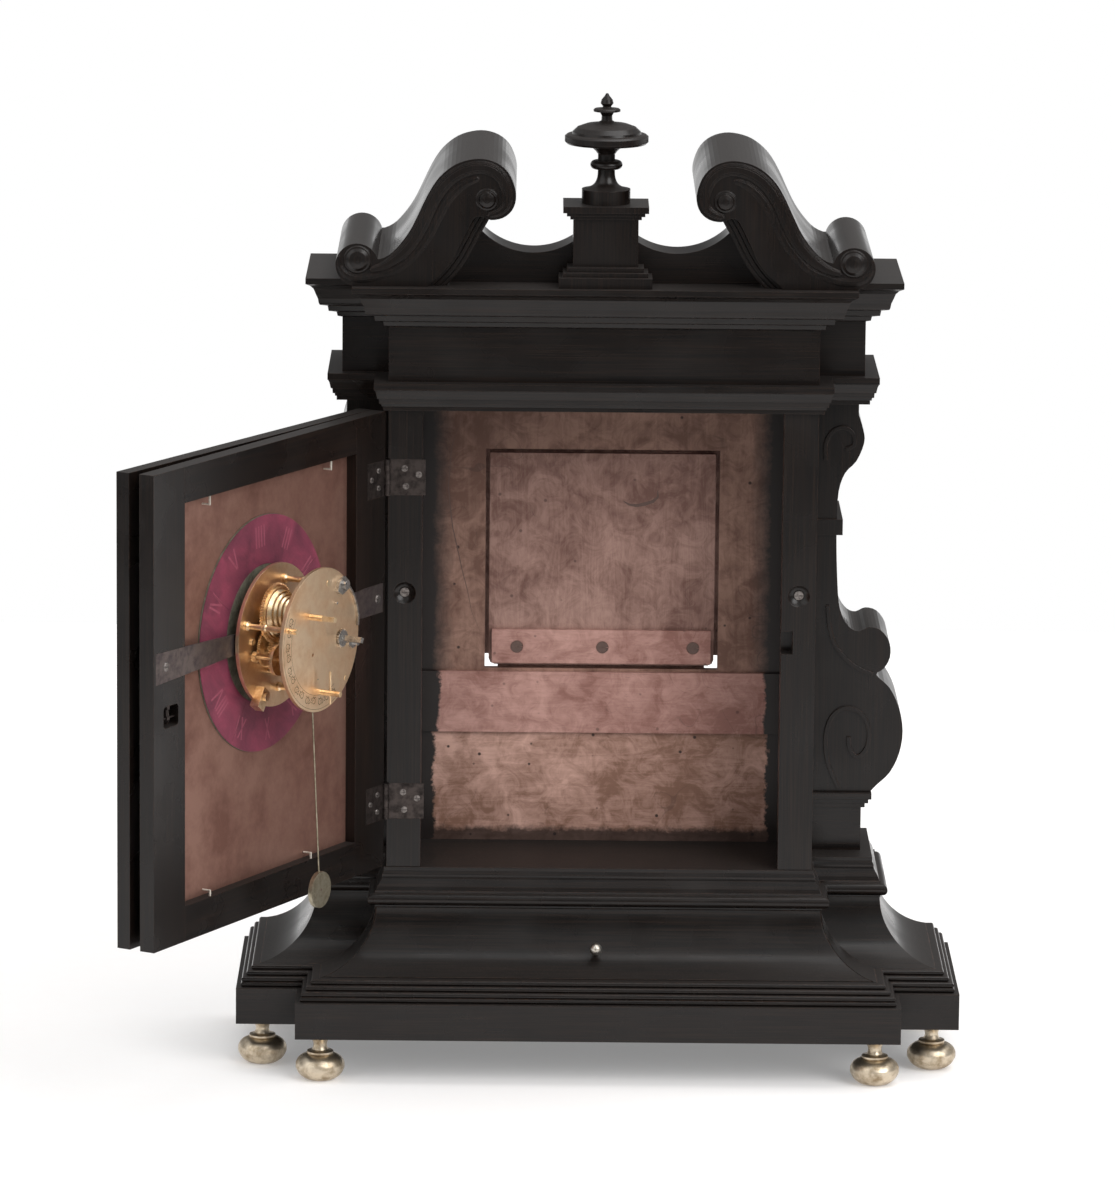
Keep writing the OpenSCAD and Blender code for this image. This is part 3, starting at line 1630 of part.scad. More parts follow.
module hour_disc() {
  color([0.62, 0.56, 0.44])
    on_movement()
      difference() {
        union() {
          layer(-7.2, -6.4)
            difference() {
              circle(disc_r);
              for (h = [1 : 12])
                rotate(90 - h * 30 + hour_turn)
                  numeral(h);
            }
          disc_at([0, 0], -6.4, -2.3, 4);
          gear(hour_teeth, hour_module, [0, 0], atan2(fusee_at[1], fusee_at[0]), -4, -2.3);
        }
        disc_at([0, 0], -8, -1, 2 + run);
      }
}

module silk_ring() {
  color([0.52, 0.12, 0.30])
    on_movement()
      layer(-6.1, -5.8)
        difference() {
          circle(disc_r - 0.2);
          circle(44.5);
        }
}

plinth();
base_board();
base_coves();
base_top();
bun_feet();
drawer_front();
drawer_box();
drawer_knob();
stile_left();
stile_right();
side_panels();
back_board_upper();
back_board_lower();
back_batten();
case_screws();
architrave();
frieze();
cornice();
scrolls();
tympanum();
pedestal();
finial();
brackets();
bracket_blocks();
hatch_panel();
hatch_batten();
hatch_hinges_fixed();
hatch_hinges_moving();
hatch_button();
dial_stile_hinge();
dial_stile_free();
dial_rails();
dial_plate();
plate_nails();
strap();
door_screws();
door_hinges_fixed();
door_hinges_moving();
lock_hook();
glazed_stiles();
glazed_rails();
glass_pane();
glazed_hinges_inner();
glazed_hinges_outer();
front_plate();
rear_plate();
pillars();
barrel();
mainspring();
barrel_arbor();
click_work();
fusee();
gut_line();
second_wheel();
contrate_wheel();
crown_wheel();
potence();
verge_pendulum();
hour_disc();
silk_ring();
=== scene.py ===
# %% [markdown]
# # A night clock with its dial door open
#
# The clock is an ebonised pear-wood cabinet on brass bun feet. Its dial door stands open and
# shows the movement on its back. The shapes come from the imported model, which loads first as a
# fixed frame in metres. This lesson gives every part the finish of its real material, adds the
# fine work that is too thin for the model (engraving, cloth seams, painted lines), and sets up
# a plain studio.

# %% Load the frame
import math
import bpy
from mathutils import Matrix, Vector


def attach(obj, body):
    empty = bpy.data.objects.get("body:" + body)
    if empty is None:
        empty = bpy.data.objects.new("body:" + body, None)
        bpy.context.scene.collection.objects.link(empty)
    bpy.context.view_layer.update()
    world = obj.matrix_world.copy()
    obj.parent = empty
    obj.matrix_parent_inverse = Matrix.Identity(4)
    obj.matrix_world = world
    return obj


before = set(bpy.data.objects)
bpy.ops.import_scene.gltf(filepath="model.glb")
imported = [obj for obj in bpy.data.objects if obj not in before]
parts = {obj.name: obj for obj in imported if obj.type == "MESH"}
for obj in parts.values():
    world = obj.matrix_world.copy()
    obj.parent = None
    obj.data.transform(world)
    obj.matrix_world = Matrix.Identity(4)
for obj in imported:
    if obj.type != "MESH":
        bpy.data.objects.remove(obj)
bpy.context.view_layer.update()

MM = 0.001

# %% [markdown]
# ## Where the door is
#
# The dial door swings on a pin at the left of the cabinet and stands open by almost 120
# degrees. Everything on the door was laid out with the door shut: u runs along the door from
# the hinge, v goes through it, z is up. The same three numbers give a place on the open door.
# The movement has its own short names: x and y across its plates and d through them. The
# frame's origin is under the middle of the whole clock with its door open, so the middle of
# the case itself lies a little to the right and back of it.

# %% Places on the door and in the movement
DOOR_OPEN = math.radians(119.7)
CASE_RIGHT, CASE_BACK = 32.63, 93.063
HINGE = Vector((CASE_RIGHT - 140.2, CASE_BACK - 35.1, 0.0)) * MM
ARBOR_U, ARBOR_Z = 140.8, 283.1
DOOR_BACK = -0.65
FOOT = 30.0


def on_door(u, v, z):
    """Point on the open door, from millimetres laid out with the door shut."""
    x = u * math.cos(DOOR_OPEN) + v * math.sin(DOOR_OPEN)
    y = -u * math.sin(DOOR_OPEN) + v * math.cos(DOOR_OPEN)
    return HINGE + Vector((x, y, z + FOOT)) * MM


def on_movement(x, y, d):
    """Point in the movement, measured from the centre of the hour disc."""
    return on_door(ARBOR_U + x, DOOR_BACK + d, ARBOR_Z + y)


print("centre of the hour disc:", tuple(round(c, 4) for c in on_movement(0, 0, 0)))

# %% [markdown]
# ## Colours and nodes
#
# Colours are written as sRGB hex, as a paint chart gives them, and one function turns them
# into the linear numbers that the shader works with. One small function adds a node with its
# settings, its values and its links, so each finish below reads as a list of what it does.

# %% Two helpers for every finish
def linear(code):
    """sRGB hex to linear red, green, blue and alpha."""
    channels = [int(code[i:i + 2], 16) / 255 for i in (1, 3, 5)]
    return [c / 12.92 if c <= 0.04045 else ((c + 0.055) / 1.055) ** 2.4 for c in channels] + [1]


def add(tree, kind, values=None, links=None, **settings):
    """Add one node: settings first, then socket values, then links into its sockets."""
    node = tree.nodes.new("ShaderNode" + kind)
    for name, value in settings.items():
        setattr(node, name, value)
    for socket, value in (values or {}).items():
        node.inputs[socket].default_value = value
    for socket, source in (links or {}).items():
        tree.links.new(source, node.inputs[socket])
    return node


def new_finish(name):
    """Empty material with its shader; places on it are in metres in the clock's own frame."""
    material = bpy.data.materials.new(name)
    material.use_nodes = True
    tree = material.node_tree
    tree.nodes.clear()
    shader = add(tree, "BsdfPrincipled")
    add(tree, "OutputMaterial", links={"Surface": shader.outputs[0]})
    place = add(tree, "TexCoord").outputs["Object"]
    return material, tree, shader, place


def dress(material, *names):
    """Give a finish to nodes of the model."""
    for name in names:
        for slot in parts[name].material_slots:
            slot.material = material
    print(material.name, "on", ", ".join(names))


# %% [markdown]
# ## Edges that hands have rubbed
#
# A joiner takes every sharp edge off with fine paper, and two centuries of dusting rub the
# stain off the same edges. Blender's Bevel node gives the normal of such a softened edge
# without changing the mesh. Where that normal leaves the flat face's own normal, there is an
# edge, so the same node also says where the wear goes.

# %% Softened and worn edges
def soft_edges(tree, radius_mm):
    """Normal of an edge eased to a small radius, and a mask that is 1 along that edge."""
    eased = add(tree, "Bevel", {"Radius": radius_mm * MM}, samples=6)
    flat = add(tree, "NewGeometry")
    same = add(tree, "VectorMath", links={0: eased.outputs["Normal"], 1: flat.outputs["Normal"]},
               operation="DOT_PRODUCT")
    edge = add(tree, "MapRange", {"From Min": 0.985, "From Max": 0.86},
               {"Value": same.outputs["Value"]})
    return eased.outputs["Normal"], edge.outputs["Result"]


# %% [markdown]
# ## Ebonised pear wood
#
# Pear has a close, even grain with hardly any pores, so it takes a black iron stain like no
# other wood and was the poor man's ebony. It was scraped, stained and waxed: the eye sees a
# warm black with a silky sheen, faint streaks along the grain and thin brown lines where the
# stain has gone from the edges. The grain streaks are noise drawn out along the piece, some
# 60 mm long and 0.7 mm wide. The wax is a thin coat over a rougher black. On the level tops
# the wax has gone dull under fine dust. Each direction of grain gets its own material, because
# a rail runs across and a stile runs up. The carved scrolls and the turned work are rubbed less
# than the edges that hands reach. The deep hollow over the drawer gets a blacker ground, which
# is painted shade: it darkens the hollow where shade falls.

# %% Black wood, one finish for each direction of the grain
BLACK_STAIN = "#0f0c0b"
# Blacker ground for the hollows: painted shade that falls in them.
HOLLOW_SHADE_BLACK = "#090706"
BLACK_STREAK = "#221914"
RUBBED_BROWN = "#5d4030"
DUST_GREY = "#57504c"
GRAIN_LONG, GRAIN_WIDE = 60 * MM, 0.7 * MM


def ebonised_pear(name, grain, turn=0.0, wear=0.55, stain_and_shade=BLACK_STAIN):
    """Stained, waxed pear; grain is X, Y or Z, after turning the frame back by the door."""
    material, tree, shader, place = new_finish(name)
    size = [GRAIN_LONG if axis == grain else GRAIN_WIDE for axis in "XYZ"]
    fibres = add(tree, "Mapping", {"Rotation": (0, 0, turn), "Scale": size}, {"Vector": place},
                 vector_type="TEXTURE")
    streak = add(tree, "TexNoise", {"Scale": 1.0, "Detail": 4.0, "Roughness": 0.6},
                 {"Vector": fibres.outputs[0]})
    cloud = add(tree, "TexNoise", {"Scale": 1 / (45 * MM), "Detail": 3.0}, {"Vector": place})
    handled = add(tree, "MapRange", {"From Min": 0.38, "From Max": 0.68},
                  {"Value": cloud.outputs["Fac"]})
    streaky = add(tree, "MapRange", {"From Min": 0.42, "From Max": 0.72},
                  {"Value": streak.outputs["Fac"]})
    tone = add(tree, "Mix", {6: linear(stain_and_shade), 7: linear(BLACK_STREAK)},
               {0: streaky.outputs[0]}, data_type="RGBA")
    normal, edge = soft_edges(tree, 0.45)
    chips = add(tree, "TexNoise", {"Scale": 1 / (5 * MM), "Detail": 5.0, "Roughness": 0.7},
                {"Vector": place})
    patchy = add(tree, "MapRange", {"From Min": 0.42, "From Max": 0.62, "To Max": wear},
                 {"Value": chips.outputs["Fac"]})
    rubbed = add(tree, "Math", links={0: edge, 1: patchy.outputs[0]}, operation="MULTIPLY")
    colour = add(tree, "Mix", {7: linear(RUBBED_BROWN)},
                 {0: rubbed.outputs[0], 6: tone.outputs[2]}, data_type="RGBA")
    wax = add(tree, "MapRange", {"To Min": 0.24, "To Max": 0.38},
              {"Value": handled.outputs[0]})
    looks = add(tree, "SeparateXYZ", links={0: add(tree, "NewGeometry").outputs["Normal"]})
    level_top = add(tree, "MapRange", {"From Min": 0.72, "From Max": 0.96},
                    {"Value": looks.outputs["Z"]})
    specks = add(tree, "TexNoise", {"Scale": 1 / (0.9 * MM), "Detail": 3.0, "Roughness": 0.7},
                 {"Vector": place})
    settled = add(tree, "MapRange", {"From Min": 0.5, "From Max": 0.75, "To Min": 0.06,
                                     "To Max": 0.32}, {"Value": specks.outputs["Fac"]})
    dust = add(tree, "Math", links={0: level_top.outputs[0], 1: settled.outputs[0]},
               operation="MULTIPLY")
    dusty = add(tree, "Mix", {7: linear(DUST_GREY)},
                {0: dust.outputs[0], 6: colour.outputs[2]}, data_type="RGBA")
    gloss = add(tree, "Mix", {3: 0.68}, {0: level_top.outputs[0], 2: wax.outputs[0]},
                data_type="FLOAT")
    relief = add(tree, "Bump", {"Strength": 0.25, "Distance": 0.05 * MM},
                 {"Height": streak.outputs["Fac"], "Normal": normal})
    tree.links.new(dusty.outputs[2], shader.inputs["Base Color"])
    tree.links.new(gloss.outputs[0], shader.inputs["Roughness"])
    tree.links.new(relief.outputs[0], shader.inputs["Normal"])
    shader.inputs["IOR"].default_value = 1.45
    shader.inputs["Specular IOR Level"].default_value = 0.34
    shader.inputs["Coat Weight"].default_value = 0.08
    shader.inputs["Coat Roughness"].default_value = 0.18
    return material


black_across = ebonised_pear("ebonised_pear_across", "X")
black_upright = ebonised_pear("ebonised_pear_upright", "Z")
black_turned = ebonised_pear("ebonised_pear_turned", "Z", wear=0.3)
black_carved = ebonised_pear("ebonised_pear_carved", "Z", wear=0.18)
# The hollows get the blacker ground, as painted shade.
black_hollow_shade = ebonised_pear("ebonised_pear_hollows_painted_shade", "X", stain_and_shade=HOLLOW_SHADE_BLACK)
black_rails = ebonised_pear("ebonised_pear_door_rails", "X", turn=-DOOR_OPEN)
dress(black_across, "plinth", "base_board", "base_top", "architrave", "frieze", "cornice",
      "tympanum", "bracket_blocks", "hatch_button")
dress(black_upright, "stile_left", "stile_right", "side_panels", "brackets", "dial_stile_hinge",
      "dial_stile_free", "glazed_stiles")
dress(black_turned, "pedestal", "finial")
dress(black_carved, "scrolls")
dress(black_hollow_shade, "base_coves", "drawer_front")
dress(black_rails, "dial_rails", "glazed_rails")

# %% [markdown]
# ## The bare boards at the back
#
# Nobody saw the back boards, so they were left without polish: planed pear and walnut, gone
# pink and brown, with the figure of the tree, old glue and dust. Black stain from the frame
# laps onto the margins. The figure is a wave bent by noise, the pores are short streaks, the
# spots are a cell pattern kept only at its points, a few fine cracks run where a broad noise
# crosses its middle value, and the stained margins follow the places where the brush stopped,
# with a ragged edge. On the upper board the side margins fade in over a wide band; that wide
# dark fade is painted shade from the stiles, laid over the black stain.

# %% Board finish with its stained margins
def bare_board(name, grain, pale, deep, figure_mm, bend, margin, spots=1.0, margin_fade_and_shade=0.6,
               cracks=0.25):
    """Unpolished planed board; margin is (left x, right x, low z) of its clean part in mm."""
    material, tree, shader, place = new_finish(name)
    size = [(8 if axis == grain else 1) * figure_mm * MM for axis in "XYZ"]
    size[1] = 40 * MM
    figure_place = add(tree, "Mapping", {"Scale": size}, {"Vector": place},
                       vector_type="TEXTURE")
    figure = add(tree, "TexNoise", {"Scale": 1.0, "Detail": 3.0, "Distortion": bend},
                 {"Vector": figure_place.outputs[0]})
    rings = add(tree, "Math", {1: 26.0}, {0: figure.outputs["Fac"]}, operation="MULTIPLY")
    ripple = add(tree, "Math", links={0: rings.outputs[0]}, operation="SINE")
    ring_tone = add(tree, "MapRange", {"From Min": -1.0, "From Max": 1.0, "To Max": 0.16},
                    {"Value": ripple.outputs[0]})
    broad = add(tree, "TexNoise", {"Scale": 1 / (60 * MM), "Detail": 5.0, "Roughness": 0.62},
                {"Vector": place})
    stain_tone = add(tree, "MapRange", {"From Min": 0.36, "From Max": 0.68, "To Max": 0.72},
                     {"Value": broad.outputs["Fac"]})
    lumps = add(tree, "TexNoise", {"Scale": 1 / (15 * MM), "Detail": 6.0, "Roughness": 0.72,
                                   "Distortion": 1.2}, {"Vector": place})
    lump_tone = add(tree, "MapRange", {"From Min": 0.40, "From Max": 0.66, "To Max": 0.56},
                    {"Value": lumps.outputs["Fac"]})
    clouds = add(tree, "Math", links={0: lump_tone.outputs[0], 1: stain_tone.outputs[0]},
                 operation="ADD", use_clamp=True)
    depth = add(tree, "Math", links={0: ring_tone.outputs[0], 1: clouds.outputs[0]},
                operation="ADD", use_clamp=True)
    wood = add(tree, "Mix", {6: linear(pale), 7: linear(deep)}, {0: depth.outputs[0]},
               data_type="RGBA")
    pore_size = [(6 if axis == grain else 0.5) * MM for axis in "XYZ"]
    pore_place = add(tree, "Mapping", {"Scale": pore_size}, {"Vector": place},
                     vector_type="TEXTURE")
    pores = add(tree, "TexNoise", {"Scale": 1.0, "Detail": 3.0},
                {"Vector": pore_place.outputs[0]})
    pore_mask = add(tree, "MapRange", {"From Min": 0.6, "From Max": 0.8, "To Max": 0.5},
                    {"Value": pores.outputs["Fac"]})
    open_wood = add(tree, "Mix", {7: linear("#4c342c")},
                    {0: pore_mask.outputs[0], 6: wood.outputs[2]}, data_type="RGBA")
    specks = add(tree, "TexVoronoi", {"Scale": 1 / (16 * MM), "Randomness": 1.0},
                 {"Vector": place})
    speck_mask = add(tree, "MapRange", {"From Min": 0.085, "From Max": 0.05, "To Max": spots},
                     {"Value": specks.outputs["Distance"]})
    marked = add(tree, "Mix", {7: linear("#3a2722")},
                 {0: speck_mask.outputs[0], 6: open_wood.outputs[2]}, data_type="RGBA")
    drift = add(tree, "TexNoise", {"Scale": 1 / (70 * MM), "Detail": 2.0}, {"Vector": place})
    crack_line = add(tree, "Math", {1: 0.5, 2: 0.0016}, {0: drift.outputs["Fac"]},
                     operation="COMPARE")
    crack_part = add(tree, "MapRange", {"From Min": 0.5, "From Max": 0.56, "To Max": cracks},
                     {"Value": broad.outputs["Fac"]})
    crack_mask = add(tree, "Math", links={0: crack_line.outputs[0], 1: crack_part.outputs[0]},
                     operation="MULTIPLY")
    cracked = add(tree, "Mix", {7: linear("#40302b")},
                  {0: crack_mask.outputs[0], 6: marked.outputs[2]}, data_type="RGBA")
    ragged = add(tree, "TexNoise", {"Scale": 1 / (14 * MM), "Detail": 6.0, "Roughness": 0.8},
                 {"Vector": place})
    wander = add(tree, "MapRange", {"To Min": -7 * MM, "To Max": 7 * MM},
                 {"Value": ragged.outputs["Fac"]})
    side = add(tree, "SeparateXYZ", links={0: place})
    left = add(tree, "Math", links={0: side.outputs["X"], 1: wander.outputs[0]},
               operation="ADD")
    # A wide fade pulls the dark side margins far in: that broad band is painted shade beside the
    # stiles.
    left_edge = add(tree, "MapRange", {"From Min": (CASE_RIGHT + margin[0] + margin_fade_and_shade) * MM,
                                       "From Max": (CASE_RIGHT + margin[0] - 1.2) * MM},
                    {"Value": left.outputs[0]})
    right_edge = add(tree, "MapRange", {"From Min": (CASE_RIGHT + margin[1] - margin_fade_and_shade) * MM,
                                        "From Max": (CASE_RIGHT + margin[1] + 1.2) * MM},
                     {"Value": left.outputs[0]})
    low = add(tree, "Math", links={0: side.outputs["Z"], 1: wander.outputs[0]},
              operation="ADD")
    low_edge = add(tree, "MapRange", {"From Min": (margin[2] + 1) * MM,
                                      "From Max": (margin[2] - 3) * MM, "To Max": 0.85},
                   {"Value": low.outputs[0]})
    side_stain_and_shade = add(tree, "Math", links={0: left_edge.outputs[0], 1: right_edge.outputs[0]},
                operation="MAXIMUM")
    painted = add(tree, "Math", links={0: side_stain_and_shade.outputs[0], 1: low_edge.outputs[0]},
                  operation="MAXIMUM")
    colour = add(tree, "Mix", {7: linear("#1d1614")},
                 {0: painted.outputs[0], 6: cracked.outputs[2]}, data_type="RGBA")
    normal, _ = soft_edges(tree, 0.3)
    relief = add(tree, "Bump", {"Strength": 0.35, "Distance": 0.08 * MM},
                 {"Height": pores.outputs["Fac"], "Normal": normal})
    rough = add(tree, "MapRange", {"To Min": 0.62, "To Max": 0.40},
                {"Value": painted.outputs[0]})
    tree.links.new(colour.outputs[2], shader.inputs["Base Color"])
    tree.links.new(rough.outputs[0], shader.inputs["Roughness"])
    tree.links.new(relief.outputs[0], shader.inputs["Normal"])
    shader.inputs["IOR"].default_value = 1.47
    return material


LEFT_STOP, RIGHT_STOP, NO_STOP = -109.5, 111.0, -999.0
# The upper board's 13 mm fade paints the shade that the stiles cast along its sides.
board_upright = bare_board("bare_pear_upper_board", "Z", "#a78373", "#6b4b3e", 9, 0.8,
                           (LEFT_STOP, RIGHT_STOP, NO_STOP), margin_fade_and_shade=13.0, cracks=0.35)
board_across = bare_board("bare_pear_lower_board", "X", "#cfa697", "#84604f", 7, 1.2,
                          (LEFT_STOP, RIGHT_STOP, 142.0))
board_hatch = bare_board("figured_walnut_hatch", "Z", "#aa877b", "#6f4e44", 14, 3.2,
                         (-900.0, 900.0, NO_STOP), spots=0.6, cracks=0.3)
board_batten = bare_board("bare_pear_battens", "X", "#c1968b", "#8c6157", 5, 0.5,
                          (LEFT_STOP + 3, RIGHT_STOP - 2, NO_STOP), spots=0.5)
dress(board_upright, "back_board_upper")
dress(board_across, "back_board_lower")
dress(board_hatch, "hatch_panel")
dress(board_batten, "back_batten", "hatch_batten")

# %% [markdown]
# The drawer is a plain box behind the hollow moulding, in pale softwood that has darkened a
# little. It gets the same board finish in paler colours.

# %% Drawer box
drawer_pine = bare_board("aged_pine_drawer", "X", "#b79a74", "#8d6e4c", 6, 0.6,
                         (-900.0, 900.0, NO_STOP), spots=0.3)
dress(drawer_pine, "drawer_box")

# %% [markdown]
# ## Metals
#
# A metal has no colour of its own beneath its reflections, so its finish is the colour of the
# reflection, how rough the surface is, and what lies on it. The movement is mercury-gilt
# brass: a warm, clean gold with a fine grain from the scratch brush. The feet and the knob are
# cast brass gone pale and brown in the hollows. The pins, arbors and springs are polished
# steel, and the hinges, strap and hook are iron blackened in oil. Fingerprints and tarnish are
# low noise in the roughness and the tone, some 5 to 20 mm across.

# %% One finish for worked metal
def worked_metal(name, clean, dull, rough, rough_dull, patch_mm, brush_mm, metallic=1.0,
                 turn=0.0, brush_axis="X", edge_shine=0.0):
    """Metal with tarnish in patches, brush marks along one axis and brighter edges."""
    material, tree, shader, place = new_finish(name)
    patches = add(tree, "TexNoise", {"Scale": 1 / (patch_mm * MM), "Detail": 5.0,
                                     "Roughness": 0.65}, {"Vector": place})
    tarnish = add(tree, "MapRange", {"From Min": 0.42, "From Max": 0.66},
                  {"Value": patches.outputs["Fac"]})
    tone = add(tree, "Mix", {6: linear(clean), 7: linear(dull)}, {0: tarnish.outputs[0]},
               data_type="RGBA")
    size = [(14 if axis == brush_axis else 1) * brush_mm * MM for axis in "XYZ"]
    brush_place = add(tree, "Mapping", {"Rotation": (0, 0, turn), "Scale": size},
                      {"Vector": place}, vector_type="TEXTURE")
    brushed = add(tree, "TexNoise", {"Scale": 1.0, "Detail": 2.0},
                  {"Vector": brush_place.outputs[0]})
    normal, edge = soft_edges(tree, 0.18)
    shine = add(tree, "Math", {1: edge_shine}, {0: edge}, operation="MULTIPLY")
    colour = add(tree, "Mix", {7: linear(clean)}, {0: shine.outputs[0], 6: tone.outputs[2]},
                 data_type="RGBA")
    grain = add(tree, "Math", {1: 0.10}, {0: brushed.outputs["Fac"]}, operation="MULTIPLY")
    haze = add(tree, "MapRange", {"To Min": rough, "To Max": rough_dull},
               {"Value": tarnish.outputs[0]})
    gloss = add(tree, "Math", links={0: grain.outputs[0], 1: haze.outputs[0]},
                operation="ADD", use_clamp=True)
    relief = add(tree, "Bump", {"Strength": 0.2, "Distance": 0.02 * MM},
                 {"Height": brushed.outputs["Fac"], "Normal": normal})
    tree.links.new(colour.outputs[2], shader.inputs["Base Color"])
    tree.links.new(gloss.outputs[0], shader.inputs["Roughness"])
    tree.links.new(relief.outputs[0], shader.inputs["Normal"])
    shader.inputs["Metallic"].default_value = metallic
    return material


gilt = worked_metal("gilt_brass_plates", "#efd2b0", "#dcb792", 0.28, 0.36, 14, 0.3,
                    turn=-DOOR_OPEN, brush_axis="Z")
gilt_small = worked_metal("gilt_brass_wheels", "#f0d6b0", "#cfa97b", 0.26, 0.38, 5, 0.25,
                          edge_shine=0.6)
cast_brass = worked_metal("cast_brass_feet", "#d6c8b2", "#9c8a70", 0.30, 0.46, 9, 0.4,
                          edge_shine=0.5)
steel = worked_metal("polished_steel", "#b9b6b2", "#7b7671", 0.22, 0.40, 4, 0.2)
grey_brass = worked_metal("steel_rod_and_brass_bob", "#a39b88", "#7c7361", 0.34, 0.5, 6, 0.25)
black_iron = worked_metal("oil_blackened_iron", "#49413e", "#241f1d", 0.32, 0.5, 6, 0.5,
                          metallic=0.75, edge_shine=0.5)
strap_iron = worked_metal("filed_iron_strap", "#6e6461", "#50484a", 0.36, 0.5, 8, 0.4,
                          metallic=0.85, turn=-DOOR_OPEN, edge_shine=0.5)
dress(gilt, "front_plate", "rear_plate")
dress(gilt_small, "pillars", "barrel", "fusee", "second_wheel", "contrate_wheel",
      "crown_wheel", "potence")
silvered = worked_metal("silvered_brass_knob", "#d9d5cd", "#a59d90", 0.24, 0.36, 3, 0.2,
                        edge_shine=0.5)
dress(cast_brass, "bun_feet")
dress(silvered, "drawer_knob")
bright_iron = worked_metal("filed_iron_screws", "#8d8682", "#4a4442", 0.28, 0.46, 2, 0.15,
                           metallic=0.8, edge_shine=0.7)
tinned_wire = worked_metal("tinned_wire_nails", "#ded8cd", "#b9b0a2", 0.36, 0.5, 3, 0.2,
                           metallic=0.3)
dress(steel, "barrel_arbor", "click_work", "mainspring")
dress(tinned_wire, "plate_nails")
dress(grey_brass, "verge_pendulum")
dress(black_iron, "door_hinges_fixed", "door_hinges_moving", "glazed_hinges_inner",
      "glazed_hinges_outer", "hatch_hinges_fixed", "hatch_hinges_moving", "lock_hook")
dress(strap_iron, "strap")
dress(bright_iron, "case_screws", "door_screws")

# %% [markdown]
# ## The copper dial plate
#
# The dial is a rolled copper sheet. Its back was only scoured and has gone a dull pinkish
# brown with long fine scratches. Its front carries an oil painting on the real clock; here the
# front gets a plain dark painted ground with gilt lines, because the picture itself belongs to
# its painter. One material does both: the side is known from the direction that the face looks
# in the clock's own frame.

# %% Copper behind, painted ground in front
copper, tree, shader, place = new_finish("rolled_copper_dial_plate")
door_place = add(tree, "Mapping", {"Location": HINGE, "Rotation": (0, 0, -DOOR_OPEN),
                                   "Scale": (MM, MM, MM)}, {"Vector": place},
                 vector_type="TEXTURE")
scratch_place = add(tree, "Mapping", {"Rotation": (0, 0.35, 0), "Scale": (0.5, 4.0, 26.0)},
                    {"Vector": door_place.outputs[0]}, vector_type="TEXTURE")
scratches = add(tree, "TexNoise", {"Scale": 1.0, "Detail": 3.0, "Roughness": 0.7},
                {"Vector": scratch_place.outputs[0]})
scratch_mask = add(tree, "MapRange", {"From Min": 0.60, "From Max": 0.74, "To Max": 0.4},
                   {"Value": scratches.outputs["Fac"]})
blotches = add(tree, "TexNoise", {"Scale": 1 / 34, "Detail": 6.0, "Roughness": 0.62},
               {"Vector": door_place.outputs[0]})
blotch_mask = add(tree, "MapRange", {"From Min": 0.36, "From Max": 0.66},
                  {"Value": blotches.outputs["Fac"]})
sheet = add(tree, "Mix", {6: linear("#a07a6c"), 7: linear("#7a564b")},
            {0: blotch_mask.outputs[0]}, data_type="RGBA")
scoured = add(tree, "Mix", {7: linear("#b98f80")},
              {0: scratch_mask.outputs[0], 6: sheet.outputs[2]}, data_type="RGBA")
at = add(tree, "SeparateXYZ", links={0: door_place.outputs[0]})
WINDOW_RADII = (52.0, 74.0)
GILT_HALF_WIDTH = 0.55
CRAQUELURE = 3.5
across = add(tree, "Math", {1: ARBOR_U}, {0: at.outputs["X"]}, operation="SUBTRACT")
up = add(tree, "Math", {1: ARBOR_Z + FOOT}, {0: at.outputs["Z"]}, operation="SUBTRACT")
flat_place = add(tree, "CombineXYZ", links={0: across.outputs[0], 1: up.outputs[0]})
reach = add(tree, "VectorMath", links={0: flat_place.outputs[0]}, operation="LENGTH")
gilt_lines = None
for radius in WINDOW_RADII:
    line = add(tree, "Math", {1: radius, 2: GILT_HALF_WIDTH}, {0: reach.outputs["Value"]},
               operation="COMPARE")
    if gilt_lines is None:
        gilt_lines = line
    else:
        gilt_lines = add(tree, "Math", links={0: gilt_lines.outputs[0], 1: line.outputs[0]},
                         operation="MAXIMUM")
cracks = add(tree, "TexVoronoi", {"Scale": 1 / CRAQUELURE}, {"Vector": door_place.outputs[0]},
             feature="DISTANCE_TO_EDGE")
crack_mask = add(tree, "MapRange", {"From Min": 0.04, "From Max": 0.01, "To Max": 0.16},
                 {"Value": cracks.outputs["Distance"]})
ground = add(tree, "Mix", {6: linear("#1a1d23"), 7: linear("#272725")},
             {0: blotch_mask.outputs[0]}, data_type="RGBA")
cracked = add(tree, "Mix", {7: linear("#12110f")},
              {0: crack_mask.outputs[0], 6: ground.outputs[2]}, data_type="RGBA")
painted = add(tree, "Mix", {7: linear("#b98f4e")},
              {0: gilt_lines.outputs[0], 6: cracked.outputs[2]}, data_type="RGBA")
facing = add(tree, "VectorMath", {1: (math.sin(DOOR_OPEN), math.cos(DOOR_OPEN), 0)},
             {0: tree.nodes["Texture Coordinate"].outputs["Normal"]}, operation="DOT_PRODUCT")
is_back = add(tree, "Math", {1: -0.5}, {0: facing.outputs["Value"]}, operation="GREATER_THAN")
colour = add(tree, "Mix", links={0: is_back.outputs[0], 6: painted.outputs[2],
                                 7: scoured.outputs[2]}, data_type="RGBA")
metal = add(tree, "Math", {1: 0.75}, {0: is_back.outputs[0]}, operation="MULTIPLY")
haze = add(tree, "MapRange", {"To Min": 0.42, "To Max": 0.58}, {"Value": blotch_mask.outputs[0]})
relief = add(tree, "Bump", {"Strength": 0.25, "Distance": 0.03 * MM},
             {"Height": scratches.outputs["Fac"]})
tree.links.new(colour.outputs[2], shader.inputs["Base Color"])
tree.links.new(metal.outputs[0], shader.inputs["Metallic"])
tree.links.new(haze.outputs[0], shader.inputs["Roughness"])
tree.links.new(relief.outputs[0], shader.inputs["Normal"])
dress(copper, "dial_plate")

